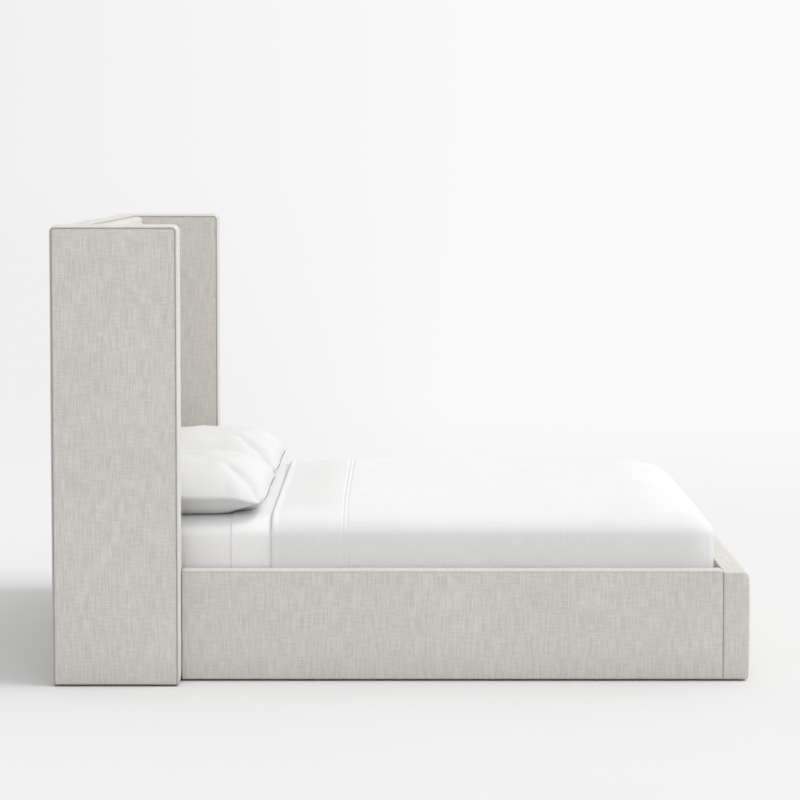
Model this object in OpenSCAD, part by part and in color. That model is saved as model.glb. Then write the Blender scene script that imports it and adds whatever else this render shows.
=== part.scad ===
// Upholstered bed with a tall headboard, two wings, padded side rails and footboard,
// slat deck, centre support with levelling feet, mattress and bedding.
// +X runs from head to foot, +Z is up, and the origin is on the floor at the middle of the bed.
// "left" is the -Y side, as seen from the foot end.

/* [Mattress] */
// Length of the mattress, head to foot
mattress_l = 2032; // [1600:4:2500]
// Width of the mattress
mattress_w = 1524; // [1100:4:2000]
// Height of the mattress
mattress_h = 300; // [200:5:380]
// Corner radius of the mattress, seen from above
mattress_r = 45; // [20:5:90]

/* [Headboard and wings] */
// Height of the top seam of headboard and wings
headboard_h = 1479; // [1150:10:1850]
// Thickness of the headboard, back to front
headboard_t = 108; // [100:2:150]
// Depth of a wing, back seam to front seam
wing_d = 397; // [300:5:500]
// Thickness of a wing
wing_t = 125; // [100:1:160]
// How far a wing's outer face stands outside the rail's outer face
wing_overhang = 83; // [70:1:96]
// Radius of the wing's top corners at the seam
wing_corner_r = 12; // [6:1:30]
// Radius of the headboard's padded top front edge
headboard_edge_r = 18; // [8:1:28]

/* [Side rails and footboard] */
// Height of the rails' and footboard's top seam
rail_h = 359; // [330:1:450]
// Thickness of a side rail
rail_t = 75; // [62:1:100]
// Thickness of the footboard
footboard_t = 84; // [70:1:120]
// Radius of the footboard's outer top edge
footboard_top_r = 21; // [8:1:30]
// Radius of the footboard's outer bottom edge
footboard_low_r = 10; // [4:1:20]

/* [Upholstery] */
// Thickness of cover fabric with its backing
cover_t = 2; // [1:0.5:3]
// Foam on a wing's flat faces
wing_foam_t = 12; // [6:1:16]
// Foam on the headboard's front
headboard_foam_t = 32; // [20:1:36]
// Foam on a rail's outer face
rail_foam_t = 11; // [6:1:18]
// Foam over the top of rails and footboard
top_foam_t = 8; // [4:1:16]
// Foam on the footboard's outer face
footboard_foam_t = 20; // [10:1:30]
// Wadding behind the wing's border strip
border_foam_t = 10; // [4:1:20]
// How far the wing's border strip bulges between its seams
border_crown = 6; // [2:1:12]
// How far the rail's top strip bulges
rail_crown = 4; // [1:1:8]
// How far the footboard's outer face bulges
footboard_crown = 3; // [1:1:8]

/* [Timber frame] */
// Plywood skin on each side of a wing
wing_ply_t = 6; // [4:1:12]
// Width of a wing stile, front to back
stile_w = 45; // [40:1:60]
// Height of a wing's and the headboard's cross members
cross_h = 90; // [50:5:120]
// Plywood behind the headboard's foam
headboard_ply_t = 12; // [9:1:18]
// Width of a headboard post
post_w = 70; // [50:5:100]
// Height of the ledger that carries the slats
ledger_h = 40; // [25:1:60]
// How far the ledger stands in from the rail
ledger_w = 40; // [25:1:60]
// Height of the rail tongue's lower edge
tongue_z = 60; // [30:5:90]

/* [Slat deck and centre support] */
// Height of the slats' top face
deck_z = 220; // [210:5:260]
// Number of slats
slat_count = 13; // [8:1:18]
// Width of a slat
slat_w = 70; // [50:1:90]
// Thickness of a slat
slat_t = 20; // [15:1:25]
// Width of the webbing that links the slats
strap_w = 40; // [20:5:60]
// Thickness of that webbing
strap_t = 1.2; // [1:0.1:3]
// Width of the centre beam
beam_w = 45; // [38:1:60]
// Height of the centre beam
beam_h = 70; // [50:1:80]
// Radius of a centre leg's tube
leg_r = 19; // [16:1:25]
// Wall of that tube
leg_wall = 2; // [1:0.5:3]
// Radius of a levelling foot's threaded stud
stud_r = 5; // [4:0.5:6]
// Radius of a levelling foot's pad
pad_r = 22; // [18:1:30]
// Height of that pad
pad_h = 10; // [8:1:14]
// How far a levelling foot can be screwed up into its leg
foot_travel = 12; // [6:1:16]

/* [Hardware] */
// Thickness of steel plate in brackets and hangers
plate_t = 4; // [3:0.5:6]
// Leg length of a corner bracket
bracket_l = 60; // [45:5:80]
// Height of a corner bracket
bracket_h = 100; // [60:5:110]
// Radius of the bolts that join wings and rails
bolt_r = 4; // [3:0.5:5]
// Radius of the small bolts in brackets and hangers
screw_r = 3; // [2:0.5:4]
// Height of the floor glides
glide_h = 6; // [4:1:12]
// Radius of the floor glides
glide_r = 16; // [10:1:20]

/* [Bedding] */
// Thickness of the fitted sheet
fitted_t = 1.5; // [1:0.1:2]
// Thickness of the flat sheet
sheet_t = 1.2; // [1:0.1:2]
// Thickness of the duvet on top
duvet_loft = 25; // [15:1:60]
// Thickness of the duvet's sides, pressed between mattress and rail
duvet_side_t = 4; // [2:0.5:5]
// Height at which the flat sheet's and duvet's sides end
skirt_z = 300; // [280:5:330]
// Distance from the headboard's front to the flat sheet's head edge
sheet_start = 453; // [300:5:700]
// Distance from the headboard's front to the duvet's head edge
duvet_start = 582; // [400:5:900]
// Depth of a pillow, front to back
pillow_d = 530; // [400:5:560]
// Height of a pillow at its middle
pillow_h = 172; // [100:2:220]
// Height of a pillow at its corners
pillow_edge_h = 60; // [30:2:90]

/* [Clearances] */
// Gap between the mattress and each side rail
side_gap = 10; // [8:1:25]
// Gap between the mattress and the headboard
head_gap = 8; // [4:1:20]
// Gap between the mattress and the footboard
foot_gap = 20; // [12:1:40]
// Gap between layers of bedding that come apart
layer_gap = 0.3; // [0.2:0.1:1]
// Gap where one upholstered panel meets the next
joint_gap = 1; // [0.5:0.5:3]
// Radial clearance of a bolt in its hole
bolt_gap = 0.2; // [0.1:0.1:0.5]
// Radial clearance of the stud in its threaded plug
stud_gap = 0.05; // [0.02:0.01:0.1]
// Radial clearance of the stud's end in its pad
swivel_gap = 0.3; // [0.2:0.1:0.6]
// Gap between a slat's end and the rail
slat_gap = 3; // [2:1:8]

/* [Hidden] */

$fn = 48;
// Fineness of long shallow arcs
arc_fn = 240;
// Overlap of a cutting solid past the face that it cuts
cut = 1;

// Overall length, from which the origin follows
total_l = border_crown + headboard_t + head_gap + mattress_l + foot_gap
    + footboard_t + footboard_crown;
back_x = -total_l / 2 + border_crown;
front_x = back_x + headboard_t;
wing_x = back_x + wing_d;
foot_x = front_x + head_gap + mattress_l + foot_gap;
foot_out_x = foot_x + footboard_t;
rail_x = wing_x + border_crown + joint_gap;
board_x = back_x + headboard_t - cover_t - headboard_foam_t;
post_x = board_x - headboard_ply_t;

// Distances from the middle plane
rail_in_y = mattress_w / 2 + side_gap;
rail_out_y = rail_in_y + rail_t;
wing_out_y = rail_out_y + wing_overhang;
wing_in_y = wing_out_y - wing_t;
wing_mid_y = (wing_out_y + wing_in_y) / 2;
board_in_y = rail_in_y + cover_t;
board_out_y = rail_out_y - cover_t - rail_foam_t;
skin_out_y = wing_out_y - cover_t - wing_foam_t;
skin_in_y = wing_in_y + cover_t + wing_foam_t;
stile_out_y = skin_out_y - wing_ply_t;
stile_in_y = skin_in_y + wing_ply_t;

// Heights
ledger_z = deck_z - slat_t;
mattress_z = deck_z + mattress_h;
fitted_z = mattress_z + fitted_t;
sheet_z = fitted_z + layer_gap;
duvet_z = sheet_z + sheet_t;
lining_z = deck_z + cover_t;
pillow_z = duvet_z + layer_gap;
beam_z = ledger_z - beam_h;
tongue_top = rail_h - 30;
board_top = rail_h - cover_t - top_foam_t;

// Wing frame
frame_front_x = wing_x - cover_t - border_foam_t;
frame_back_x = back_x + cover_t;
frame_top = headboard_h - cover_t - border_foam_t;
stile_pitch = (frame_front_x - frame_back_x - stile_w) / 2;
cross_pitch = (frame_top - glide_h - cross_h) / 3;

// Headboard frame
headboard_top = headboard_h - cover_t;
headboard_cross_pitch = (headboard_top - glide_h - cross_h) / 2;

// Bolts through the headboard's posts into the wings
wing_bolt_x = frame_back_x + stile_w / 2;
wing_bolt_zs = [for (s = [0.35, 0.8, 1.75]) glide_h + cross_h / 2 + headboard_cross_pitch * s];
wing_bolt_l = stile_in_y - wing_in_y + 30;
// Bolts through the rails' tongues into the wings
rail_bolt_x = frame_front_x - stile_w / 2;
rail_bolt_zs = [tongue_z + 45, tongue_top - 45];
rail_bolt_l = stile_in_y - board_in_y + 25;
head_r = 2 * bolt_r;
head_h = bolt_r * 1.4;

// Centre support
beam_x = board_x + plate_t;
beam_end_x = foot_x - plate_t;
leg_xs = [for (i = [1:3]) beam_x + (beam_end_x - beam_x) * i / 4];
plug_z = pad_h + 3 + nut_h() + foot_travel;
leg_low_z = plug_z + plug_flange_h();
stud_bottom_z = pad_h - 6;
hanger_l = 60;
hanger_screw_y = beam_w / 2 + plate_t + 12;

// Slats
slat_x = front_x + head_gap + 30;
slat_end_x = foot_x - foot_gap - 30;
slat_pitch = (slat_end_x - slat_x - slat_w) / (slat_count - 1);
slat_half_l = board_in_y - slat_gap;
strap_y = slat_half_l / 2;

// Bedding
mattress_x = front_x + head_gap;
sheet_grow = fitted_t + layer_gap;
duvet_grow = sheet_grow + sheet_t;
pillow_x = front_x + 35;
pillow_gap = 12;
pillow_l = mattress_w / 2 - pillow_gap;
pillow_end_rise = 12;

function nut_h() = 6;
function plug_flange_h() = 3;

linen = [0.80, 0.78, 0.75];
linen_dark = [0.72, 0.70, 0.67];
foam_yellow = [0.93, 0.88, 0.70];
timber = [0.80, 0.66, 0.47];
plywood = [0.85, 0.73, 0.55];
steel = [0.62, 0.64, 0.66];
black_plastic = [0.12, 0.12, 0.13];
white_cotton = [0.96, 0.96, 0.96];

// ---------- shared shapes ----------

// A box between two corners
module block(x0, x1, y0, y1, z0, z1) {
    translate([x0, y0, z0]) cube([x1 - x0, y1 - y0, z1 - z0]);
}

// Extrudes an X-Z outline from y0 to y1
module along_y(y0, y1) {
    translate([0, y1, 0]) rotate([90, 0, 0]) linear_extrude(y1 - y0) children();
}

// Extrudes a Y-Z outline from x0 to x1
module along_x(x0, x1) {
    translate([x0, 0, 0]) rotate([90, 0, 90]) linear_extrude(x1 - x0) children();
}

// Extrudes an X-Y outline from z0 to z1
module along_z(z0, z1) {
    translate([0, 0, z0]) linear_extrude(z1 - z0) children();
}

// A cylinder along Y from y0 to y1
module rod_y(r, x, z, y0, y1) {
    translate([x, y1, z]) rotate([90, 0, 0]) cylinder(r = r, h = y1 - y0);
}

// A cylinder along X from x0 to x1
module rod_x(r, y, z, x0, x1) {
    translate([x0, y, z]) rotate([0, 90, 0]) cylinder(r = r, h = x1 - x0);
}

// Puts what is drawn for the left side on the left (-1) or mirrored on the right (1)
module on_side(side) {
    if (side < 0) children();
    else mirror([0, 1, 0]) children();
}

// What rounding takes off an outline's corner at (x, y) whose inside lies towards (dx, dy)
module corner_waste(x, y, dx, dy, r) {
    if (r > 0)
        difference() {
            translate([x + dx * (r - cut) / 2, y + dy * (r - cut) / 2])
                square(r + cut, center = true);
            translate([x + dx * r, y + dy * r]) circle(r);
        }
}

// Rectangle with separate radii at its four corners: low left, low right, high right, high left
module rounded_outline(x0, x1, y0, y1, ll, lr, hr, hl) {
    difference() {
        translate([x0, y0]) square([x1 - x0, y1 - y0]);
        corner_waste(x0, y0, 1, 1, ll);
        corner_waste(x1, y0, -1, 1, lr);
        corner_waste(x1, y1, -1, -1, hr);
        corner_waste(x0, y1, 1, -1, hl);
    }
}

// Section of a strip: w wide, t thick, bulging by crown on its upper side
module crowned_section(w, t, crown) {
    arc_r = (w * w / 4 + crown * crown) / (2 * crown);
    translate([-w / 2, 0]) square([w, t]);
    intersection() {
        translate([0, t + crown - arc_r]) circle(arc_r, $fn = arc_fn);
        translate([-w / 2, t]) square([w, crown]);
    }
}

// ---------- headboard ----------

module wing_bolt_holes(r) {
    for (z = wing_bolt_zs) rod_y(r, wing_bolt_x, z, -wing_in_y - wing_bolt_l, cut - wing_in_y + post_w);
}

module headboard_posts() {
    color(timber)
        for (side = [-1, 1]) on_side(side)
            difference() {
                block(frame_back_x, post_x, -wing_in_y, -wing_in_y + post_w, glide_h, headboard_top);
                wing_bolt_holes(bolt_r + bolt_gap);
            }
}

module headboard_rails() {
    color(timber)
        for (i = [0:2])
            translate([0, 0, headboard_cross_pitch * i])
                block(frame_back_x, post_x, -wing_in_y + post_w, wing_in_y - post_w,
                    glide_h, glide_h + cross_h);
}

module headboard_board() {
    color(plywood)
        difference() {
            block(post_x, board_x, -wing_in_y, wing_in_y, glide_h, headboard_top);
            for (y = [-hanger_screw_y, hanger_screw_y], z = hanger_screw_zs())
                rod_x(screw_r + bolt_gap, y, z, post_x + cover_t, board_x + cut);
        }
}

// Side outline of the foam, or of the cover around it when grown by the cover's thickness
module headboard_pad_outline(grow) {
    rounded_outline(board_x, front_x - cover_t + grow, lining_z, headboard_top + grow,
        0, 0, headboard_edge_r - cover_t + grow, 0);
}

module headboard_foam() {
    color(foam_yellow) along_y(-wing_in_y, wing_in_y) headboard_pad_outline(0);
}

module headboard_front_cover() {
    color(linen)
        along_y(-wing_in_y, wing_in_y)
            difference() {
                headboard_pad_outline(cover_t);
                headboard_pad_outline(0);
            }
}

module headboard_top_strip() {
    color(linen)
        along_y(-wing_in_y, wing_in_y)
            translate([(frame_back_x + board_x) / 2, headboard_top])
                crowned_section(board_x - frame_back_x, cover_t, border_crown / 2);
}

module headboard_back_cover() {
    color(linen_dark) block(back_x, frame_back_x, -wing_in_y, wing_in_y, glide_h, headboard_h);
}

// ---------- wings, drawn on the left ----------

// Side outline of a wing, seen from the bed's side
module wing_outline() {
    rounded_outline(back_x, wing_x, glide_h, headboard_h, 0, 0, wing_corner_r, wing_corner_r);
}

// Side outline of a wing's inner layers, inside the border strip
module wing_core_outline() {
    translate([frame_back_x, glide_h])
        square([frame_front_x - frame_back_x, frame_top - glide_h]);
}

module rail_bolt_holes(r) {
    for (z = rail_bolt_zs) rod_y(r, rail_bolt_x, z, -board_in_y - rail_bolt_l, cut - board_in_y);
}

module wing_holes() {
    wing_bolt_holes(bolt_r + bolt_gap);
    rail_bolt_holes(bolt_r + bolt_gap);
}

module wing_stiles(side) {
    color(timber)
        on_side(side)
            difference() {
                for (i = [0:2])
                    translate([stile_pitch * i, 0, 0])
                        block(frame_back_x, frame_back_x + stile_w, -stile_out_y, -stile_in_y,
                            glide_h, frame_top);
                wing_holes();
            }
}

module wing_cross_rails(side) {
    color(timber)
        on_side(side)
            for (i = [0:1], j = [0:3])
                translate([stile_pitch * i, 0, cross_pitch * j])
                    block(frame_back_x + stile_w, frame_back_x + stile_pitch,
                        -stile_out_y, -stile_in_y, glide_h, glide_h + cross_h);
}

module wing_skins(side) {
    color(plywood)
        on_side(side)
            difference() {
                union() {
                    along_y(-skin_out_y, -stile_out_y) wing_core_outline();
                    along_y(-stile_in_y, -skin_in_y) wing_core_outline();
                }
                wing_holes();
            }
}

module wing_foam(side) {
    strip_y = wing_out_y - cover_t;
    strip_in_y = wing_in_y + cover_t;
    color(foam_yellow)
        on_side(side)
            difference() {
                along_y(-strip_y, -strip_in_y)
                    rounded_outline(frame_back_x, wing_x - cover_t, glide_h, headboard_h - cover_t,
                        0, 0, wing_corner_r - cover_t, wing_corner_r - cover_t);
                along_y(-skin_out_y, -skin_in_y)
                    translate([frame_back_x - cut, glide_h - cut])
                        square([frame_front_x - frame_back_x + cut, frame_top - glide_h + cut]);
                wing_holes();
            }
}

module wing_outer_cover(side) {
    color(linen)
        on_side(side)
            along_y(-wing_out_y, -wing_out_y + cover_t) wing_outline();
}

module wing_inner_cover(side) {
    color(linen)
        on_side(side)
            difference() {
                along_y(-wing_in_y - cover_t, -wing_in_y) wing_outline();
                wing_holes();
            }
}

// One continuous strip up the front, over the top and down the back
module wing_border(side) {
    strip_w = wing_t - 2 * cover_t;
    corner_z = headboard_h - wing_corner_r;
    color(linen)
        on_side(side)
            union() {
                along_z(glide_h, corner_z)
                    translate([wing_x - cover_t, -wing_mid_y]) rotate(-90)
                        crowned_section(strip_w, cover_t, border_crown);
                along_z(glide_h, corner_z)
                    translate([frame_back_x, -wing_mid_y]) rotate(90)
                        crowned_section(strip_w, cover_t, border_crown);
                along_x(back_x + wing_corner_r, wing_x - wing_corner_r)
                    translate([-wing_mid_y, headboard_h - cover_t])
                        crowned_section(strip_w, cover_t, border_crown);
                translate([wing_x - wing_corner_r, -wing_mid_y, corner_z])
                    wing_border_corner(strip_w);
                translate([back_x + wing_corner_r, -wing_mid_y, corner_z])
                    mirror([1, 0, 0]) wing_border_corner(strip_w);
            }
}

module wing_border_corner(strip_w) {
    rotate([90, 0, 0])
        rotate_extrude(angle = 90)
            translate([wing_corner_r - cover_t, 0]) rotate(-90)
                crowned_section(strip_w, cover_t, border_crown);
}

// A bolt along Y whose head rests on the face at y, on the left side
module side_bolt(x, z, y, length) {
    rod_y(bolt_r, x, z, y - length + bolt_gap, y);
    rod_y(head_r, x, z, y, y + head_h);
}

module wing_bolts() {
    color(steel)
        for (side = [-1, 1], z = wing_bolt_zs) on_side(side)
            side_bolt(wing_bolt_x, z, -wing_in_y + post_w, wing_bolt_l + post_w);
}

// ---------- side rails, drawn on the left ----------

module rail_board(side) {
    color(timber)
        on_side(side)
            difference() {
                union() {
                    block(rail_x, foot_x, -board_out_y, -board_in_y, glide_h, board_top);
                    block(front_x + joint_gap, rail_x + cut, -wing_in_y, -board_in_y,
                        tongue_z, tongue_top);
                }
                rail_bolt_holes(bolt_r + bolt_gap);
                for (z = rail_bolt_zs)
                    rod_y(head_r + joint_gap, rail_bolt_x, z, -board_in_y - head_h, cut - board_in_y);
                for (z = bracket_screw_zs())
                    rod_y(screw_r + bolt_gap, foot_x - bracket_l * 0.6, z,
                        -board_in_y - screw_l(), cut - board_in_y);
            }
}

module rail_foam(side) {
    color(foam_yellow)
        on_side(side)
            difference() {
                block(rail_x, foot_x, -rail_out_y + cover_t, -board_in_y,
                    glide_h, rail_h - cover_t);
                block(rail_x - cut, foot_x + cut, -board_out_y, -board_in_y + cut,
                    glide_h - cut, board_top);
            }
}

module rail_outer_cover(side) {
    color(linen)
        on_side(side)
            block(rail_x, foot_x, -rail_out_y, -rail_out_y + cover_t, glide_h, rail_h);
}

// The top strip and the lining that turns down inside it
module rail_top_cover(side) {
    strip_w = rail_t - cover_t;
    color(linen)
        on_side(side)
            union() {
                along_x(rail_x, foot_x)
                    translate([-rail_in_y - strip_w / 2, rail_h - cover_t])
                        crowned_section(strip_w, cover_t, rail_crown);
                block(rail_x, foot_x, -board_in_y, -rail_in_y, lining_z, rail_h - cover_t);
            }
}

module rail_ledger(side) {
    color(timber)
        on_side(side)
            block(front_x + joint_gap, foot_x - plate_t, -board_in_y, -board_in_y + ledger_w,
                ledger_z - ledger_h, ledger_z);
}

module rail_bolts() {
    color(steel)
        for (side = [-1, 1], z = rail_bolt_zs) on_side(side)
            side_bolt(rail_bolt_x, z, -board_in_y - head_h, rail_bolt_l - head_h);
}

// ---------- footboard ----------

// Side outline of the footboard's pad, shrunk all round by inset
module footboard_outline(inset) {
    face_x = foot_out_x - inset;
    face_low = glide_h + footboard_low_r;
    face_h = rail_h - footboard_top_r - face_low;
    chord = face_h - 4 * cut;
    arc_r = (chord * chord / 4 + footboard_crown * footboard_crown) / (2 * footboard_crown);
    rounded_outline(foot_x + inset, face_x, glide_h, rail_h - inset,
        0, footboard_low_r - inset, footboard_top_r - inset, 0);
    intersection() {
        translate([face_x + footboard_crown - arc_r, face_low + face_h / 2])
            circle(arc_r, $fn = arc_fn);
        translate([face_x - cut, face_low]) square([footboard_crown + 2 * cut, face_h]);
    }
}

module footboard_board_block(low_z) {
    block(foot_x + cover_t, foot_out_x - cover_t - footboard_foam_t,
        -board_out_y, board_out_y, low_z, board_top);
}

module footboard_screw_holes() {
    for (side = [-1, 1], z = bracket_screw_zs()) on_side(side)
        rod_x(screw_r + bolt_gap, -board_in_y + bracket_l * 0.6, z, foot_x - cut, foot_x + screw_l());
    for (y = [-hanger_screw_y, hanger_screw_y], z = hanger_screw_zs())
        rod_x(screw_r + bolt_gap, y, z, foot_x - cut, foot_x + screw_l());
}

module footboard_board() {
    color(timber)
        difference() {
            footboard_board_block(glide_h);
            footboard_screw_holes();
        }
}

module footboard_foam() {
    color(foam_yellow)
        difference() {
            along_y(-rail_out_y + cover_t, rail_out_y - cover_t) footboard_outline(cover_t);
            footboard_board_block(glide_h - cut);
        }
}

module footboard_cover() {
    color(linen)
        difference() {
            along_y(-rail_out_y, rail_out_y) footboard_outline(0);
            along_y(-rail_out_y + cover_t, rail_out_y - cover_t) footboard_outline(cover_t);
            footboard_screw_holes();
        }
}

// ---------- hardware ----------

function screw_l() = 30;
function bracket_z() = ledger_z - ledger_h - bracket_h - 5;
function bracket_screw_zs() = [bracket_z() + bracket_h * 0.25, bracket_z() + bracket_h * 0.75];
function hanger_screw_zs() = [beam_z + beam_h * 0.3, beam_z + beam_h * 0.75];

module corner_brackets() {
    bracket_y = -board_in_y + bracket_l;
    color(steel)
        for (side = [-1, 1]) on_side(side)
            difference() {
                union() {
                    block(foot_x - bracket_l, foot_x, -board_in_y, -board_in_y + plate_t,
                        bracket_z(), bracket_z() + bracket_h);
                    block(foot_x - plate_t, foot_x, -board_in_y, bracket_y,
                        bracket_z(), bracket_z() + bracket_h);
                }
                for (z = bracket_screw_zs()) {
                    rod_y(screw_r + bolt_gap, foot_x - bracket_l * 0.6, z,
                        -board_in_y - cut, -board_in_y + plate_t + cut);
                    rod_x(screw_r + bolt_gap, -board_in_y + bracket_l * 0.6, z,
                        foot_x - plate_t - cut, foot_x + cut);
                }
            }
}

// A small bolt along X whose head rests at x and whose shaft runs towards dir
module screw_x(y, z, x, dir, length) {
    translate([x, y, z]) rotate([0, 90 * dir, 0]) cylinder(r = screw_r, h = length);
    translate([x, y, z]) rotate([0, -90 * dir, 0]) cylinder(r = 2 * screw_r, h = screw_r);
}

module bracket_screws() {
    shaft = screw_l() + plate_t - bolt_gap;
    head_shaft = headboard_ply_t + plate_t - cover_t - bolt_gap;
    color(steel) {
        for (side = [-1, 1], z = bracket_screw_zs()) on_side(side) {
            rod_y(screw_r, foot_x - bracket_l * 0.6, z,
                -board_in_y + plate_t - shaft, -board_in_y + plate_t);
            rod_y(2 * screw_r, foot_x - bracket_l * 0.6, z,
                -board_in_y + plate_t, -board_in_y + plate_t + screw_r);
            screw_x(-board_in_y + bracket_l * 0.6, z, foot_x - plate_t, 1, shaft);
        }
        for (y = [-hanger_screw_y, hanger_screw_y], z = hanger_screw_zs()) {
            screw_x(y, z, foot_x - plate_t, 1, shaft);
            screw_x(y, z, board_x + plate_t, -1, head_shaft);
        }
    }
}

// A steel cradle drawn at the head end: back plate, two cheeks and a floor
module beam_hanger() {
    half = beam_w / 2;
    wing = hanger_screw_y + 12;
    difference() {
        union() {
            block(0, plate_t, -wing, wing, beam_z - plate_t, ledger_z);
            block(0, hanger_l, -half - plate_t, half + plate_t, beam_z - plate_t, beam_z);
            for (side = [-1, 1]) on_side(side)
                block(0, hanger_l, -half - plate_t, -half, beam_z - plate_t, ledger_z);
        }
        for (y = [-hanger_screw_y, hanger_screw_y], z = hanger_screw_zs())
            rod_x(screw_r + bolt_gap, y, z, -cut, plate_t + cut);
    }
}

module beam_hangers() {
    color(steel) {
        translate([board_x, 0, 0]) beam_hanger();
        translate([foot_x, 0, 0]) mirror([1, 0, 0]) beam_hanger();
    }
}

module centre_beam() {
    color(timber) block(beam_x, beam_end_x, -beam_w / 2, beam_w / 2, beam_z, ledger_z);
}

module centre_legs() {
    color(steel)
        for (x = leg_xs) translate([x, 0, 0]) {
            block(-leg_r * 2, leg_r * 2, -beam_w / 2, beam_w / 2, beam_z - plate_t, beam_z);
            difference() {
                translate([0, 0, leg_low_z]) cylinder(r = leg_r, h = beam_z - plate_t - leg_low_z);
                translate([0, 0, leg_low_z - cut])
                    cylinder(r = leg_r - leg_wall, h = beam_z - plate_t - leg_low_z + cut);
            }
        }
}

module leg_plugs() {
    plug_h = 20;
    color(black_plastic)
        for (x = leg_xs) translate([x, 0, plug_z])
            difference() {
                union() {
                    cylinder(r = leg_r, h = plug_flange_h());
                    cylinder(r = leg_r - leg_wall, h = plug_h);
                }
                translate([0, 0, -cut]) cylinder(r = stud_r + stud_gap, h = plug_h + 2 * cut);
            }
}

module leveller_pad(i) {
    color(black_plastic)
        translate([leg_xs[i], 0, 0])
            difference() {
                union() {
                    cylinder(r = pad_r, h = pad_h * 0.6);
                    cylinder(r = pad_r * 0.6, h = pad_h);
                }
                translate([0, 0, stud_bottom_z])
                    cylinder(r = stud_r + swivel_gap, h = pad_h);
            }
}

module leveller_stud(i) {
    color(steel)
        translate([leg_xs[i], 0, 0])
            union() {
                translate([0, 0, stud_bottom_z]) cylinder(r = stud_r, h = plug_z + 16 - stud_bottom_z);
                translate([0, 0, pad_h + 2]) cylinder(r = 1.8 * stud_r, h = nut_h(), $fn = 6);
            }
}

module slats() {
    color(timber)
        for (i = [0:slat_count - 1])
            translate([slat_x + slat_pitch * i, 0, 0])
                block(0, slat_w, -slat_half_l, slat_half_l, ledger_z, deck_z);
}

module slat_straps() {
    color(black_plastic)
        for (side = [-1, 1]) on_side(side)
            block(slat_x, slat_end_x, -strap_y - strap_w / 2, -strap_y + strap_w / 2,
                ledger_z - strap_t, ledger_z);
}

module floor_glides() {
    wing_xs = [frame_back_x + stile_w / 2, frame_front_x - stile_w / 2];
    rail_mid_y = (board_in_y + board_out_y) / 2;
    footboard_mid_x = foot_x + (footboard_t - footboard_foam_t) / 2;
    color(black_plastic)
        for (side = [-1, 1]) on_side(side) {
            for (x = wing_xs)
                translate([x, -wing_mid_y, 0]) cylinder(r = glide_r, h = glide_h);
            for (f = [0.1, 0.5, 0.9])
                translate([rail_x + (foot_x - rail_x) * f, -rail_mid_y, 0])
                    cylinder(r = glide_r, h = glide_h);
            translate([footboard_mid_x, -board_in_y * 0.6, 0]) cylinder(r = glide_r, h = glide_h);
            translate([(frame_back_x + post_x) / 2, -wing_in_y * 0.5, 0])
                cylinder(r = glide_r, h = glide_h);
        }
}

// ---------- mattress and bedding ----------

// The mattress's outline from above, grown all round
module mattress_plan(grow) {
    r = mattress_r + grow;
    rounded_outline(mattress_x - grow, mattress_x + mattress_l + grow,
        -mattress_w / 2 - grow, mattress_w / 2 + grow, r, r, r, r);
}

module mattress() {
    color(white_cotton) along_z(deck_z, mattress_z) mattress_plan(0);
}

module fitted_sheet() {
    color(white_cotton)
        difference() {
            along_z(lining_z, fitted_z) mattress_plan(fitted_t);
            along_z(deck_z - cut, mattress_z) mattress_plan(0);
        }
}

// A layer over the mattress from start_x to the foot, open at its head end
module draped_layer(start_x, grow, side_t, low_z, top_z) {
    intersection() {
        difference() {
            along_z(skirt_z, top_z) mattress_plan(grow + side_t);
            along_z(skirt_z - cut, low_z) mattress_plan(grow);
        }
        block(start_x, foot_x, -rail_in_y, rail_in_y, skirt_z, top_z);
    }
}

module flat_sheet() {
    color(white_cotton) draped_layer(front_x + sheet_start, sheet_grow, sheet_t, sheet_z, duvet_z);
}

module duvet() {
    color(white_cotton)
        draped_layer(front_x + duvet_start, duvet_grow, duvet_side_t, duvet_z, duvet_z + duvet_loft);
}

// Flat below and crowned in both directions. The arc along its length peaks a little above the other,
// so that it shapes only the two ends.
module pillow(side) {
    crown = pillow_h - pillow_edge_h;
    long_crown = crown + pillow_end_rise;
    long_r = (pillow_l * pillow_l / 4 + long_crown * long_crown) / (2 * long_crown);
    deep_r = (pillow_d * pillow_d / 4 + crown * crown) / (2 * crown);
    mid_y = pillow_gap + pillow_l / 2;
    mid_x = pillow_x + pillow_d / 2;
    top = pillow_z + pillow_h;
    color(white_cotton)
        on_side(side)
            intersection() {
                block(pillow_x, pillow_x + pillow_d, -pillow_gap - pillow_l, -pillow_gap,
                    pillow_z, top + pillow_l);
                translate([mid_x - pillow_d, -mid_y, top + pillow_end_rise - long_r])
                    rotate([0, 90, 0])
                        cylinder(r = long_r, h = 2 * pillow_d, $fn = arc_fn);
                translate([mid_x, -mid_y + pillow_l, top - deep_r])
                    rotate([90, 0, 0])
                        cylinder(r = deep_r, h = 2 * pillow_l, $fn = arc_fn);
            }
}

// ---------- nodes ----------

headboard_posts();
headboard_rails();
headboard_board();
headboard_foam();
headboard_front_cover();
headboard_top_strip();
headboard_back_cover();
wing_stiles(-1);  // wing_stiles_left
wing_stiles(1);  // wing_stiles_right
wing_cross_rails(-1);  // wing_cross_rails_left
wing_cross_rails(1);  // wing_cross_rails_right
wing_skins(-1);  // wing_skins_left
wing_skins(1);  // wing_skins_right
wing_foam(-1);  // wing_foam_left
wing_foam(1);  // wing_foam_right
wing_outer_cover(-1);  // wing_outer_cover_left
wing_outer_cover(1);  // wing_outer_cover_right
wing_inner_cover(-1);  // wing_inner_cover_left
wing_inner_cover(1);  // wing_inner_cover_right
wing_border(-1);  // wing_border_left
wing_border(1);  // wing_border_right
wing_bolts();
rail_board(-1);  // rail_board_left
rail_board(1);  // rail_board_right
rail_foam(-1);  // rail_foam_left
rail_foam(1);  // rail_foam_right
rail_outer_cover(-1);  // rail_outer_cover_left
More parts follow.
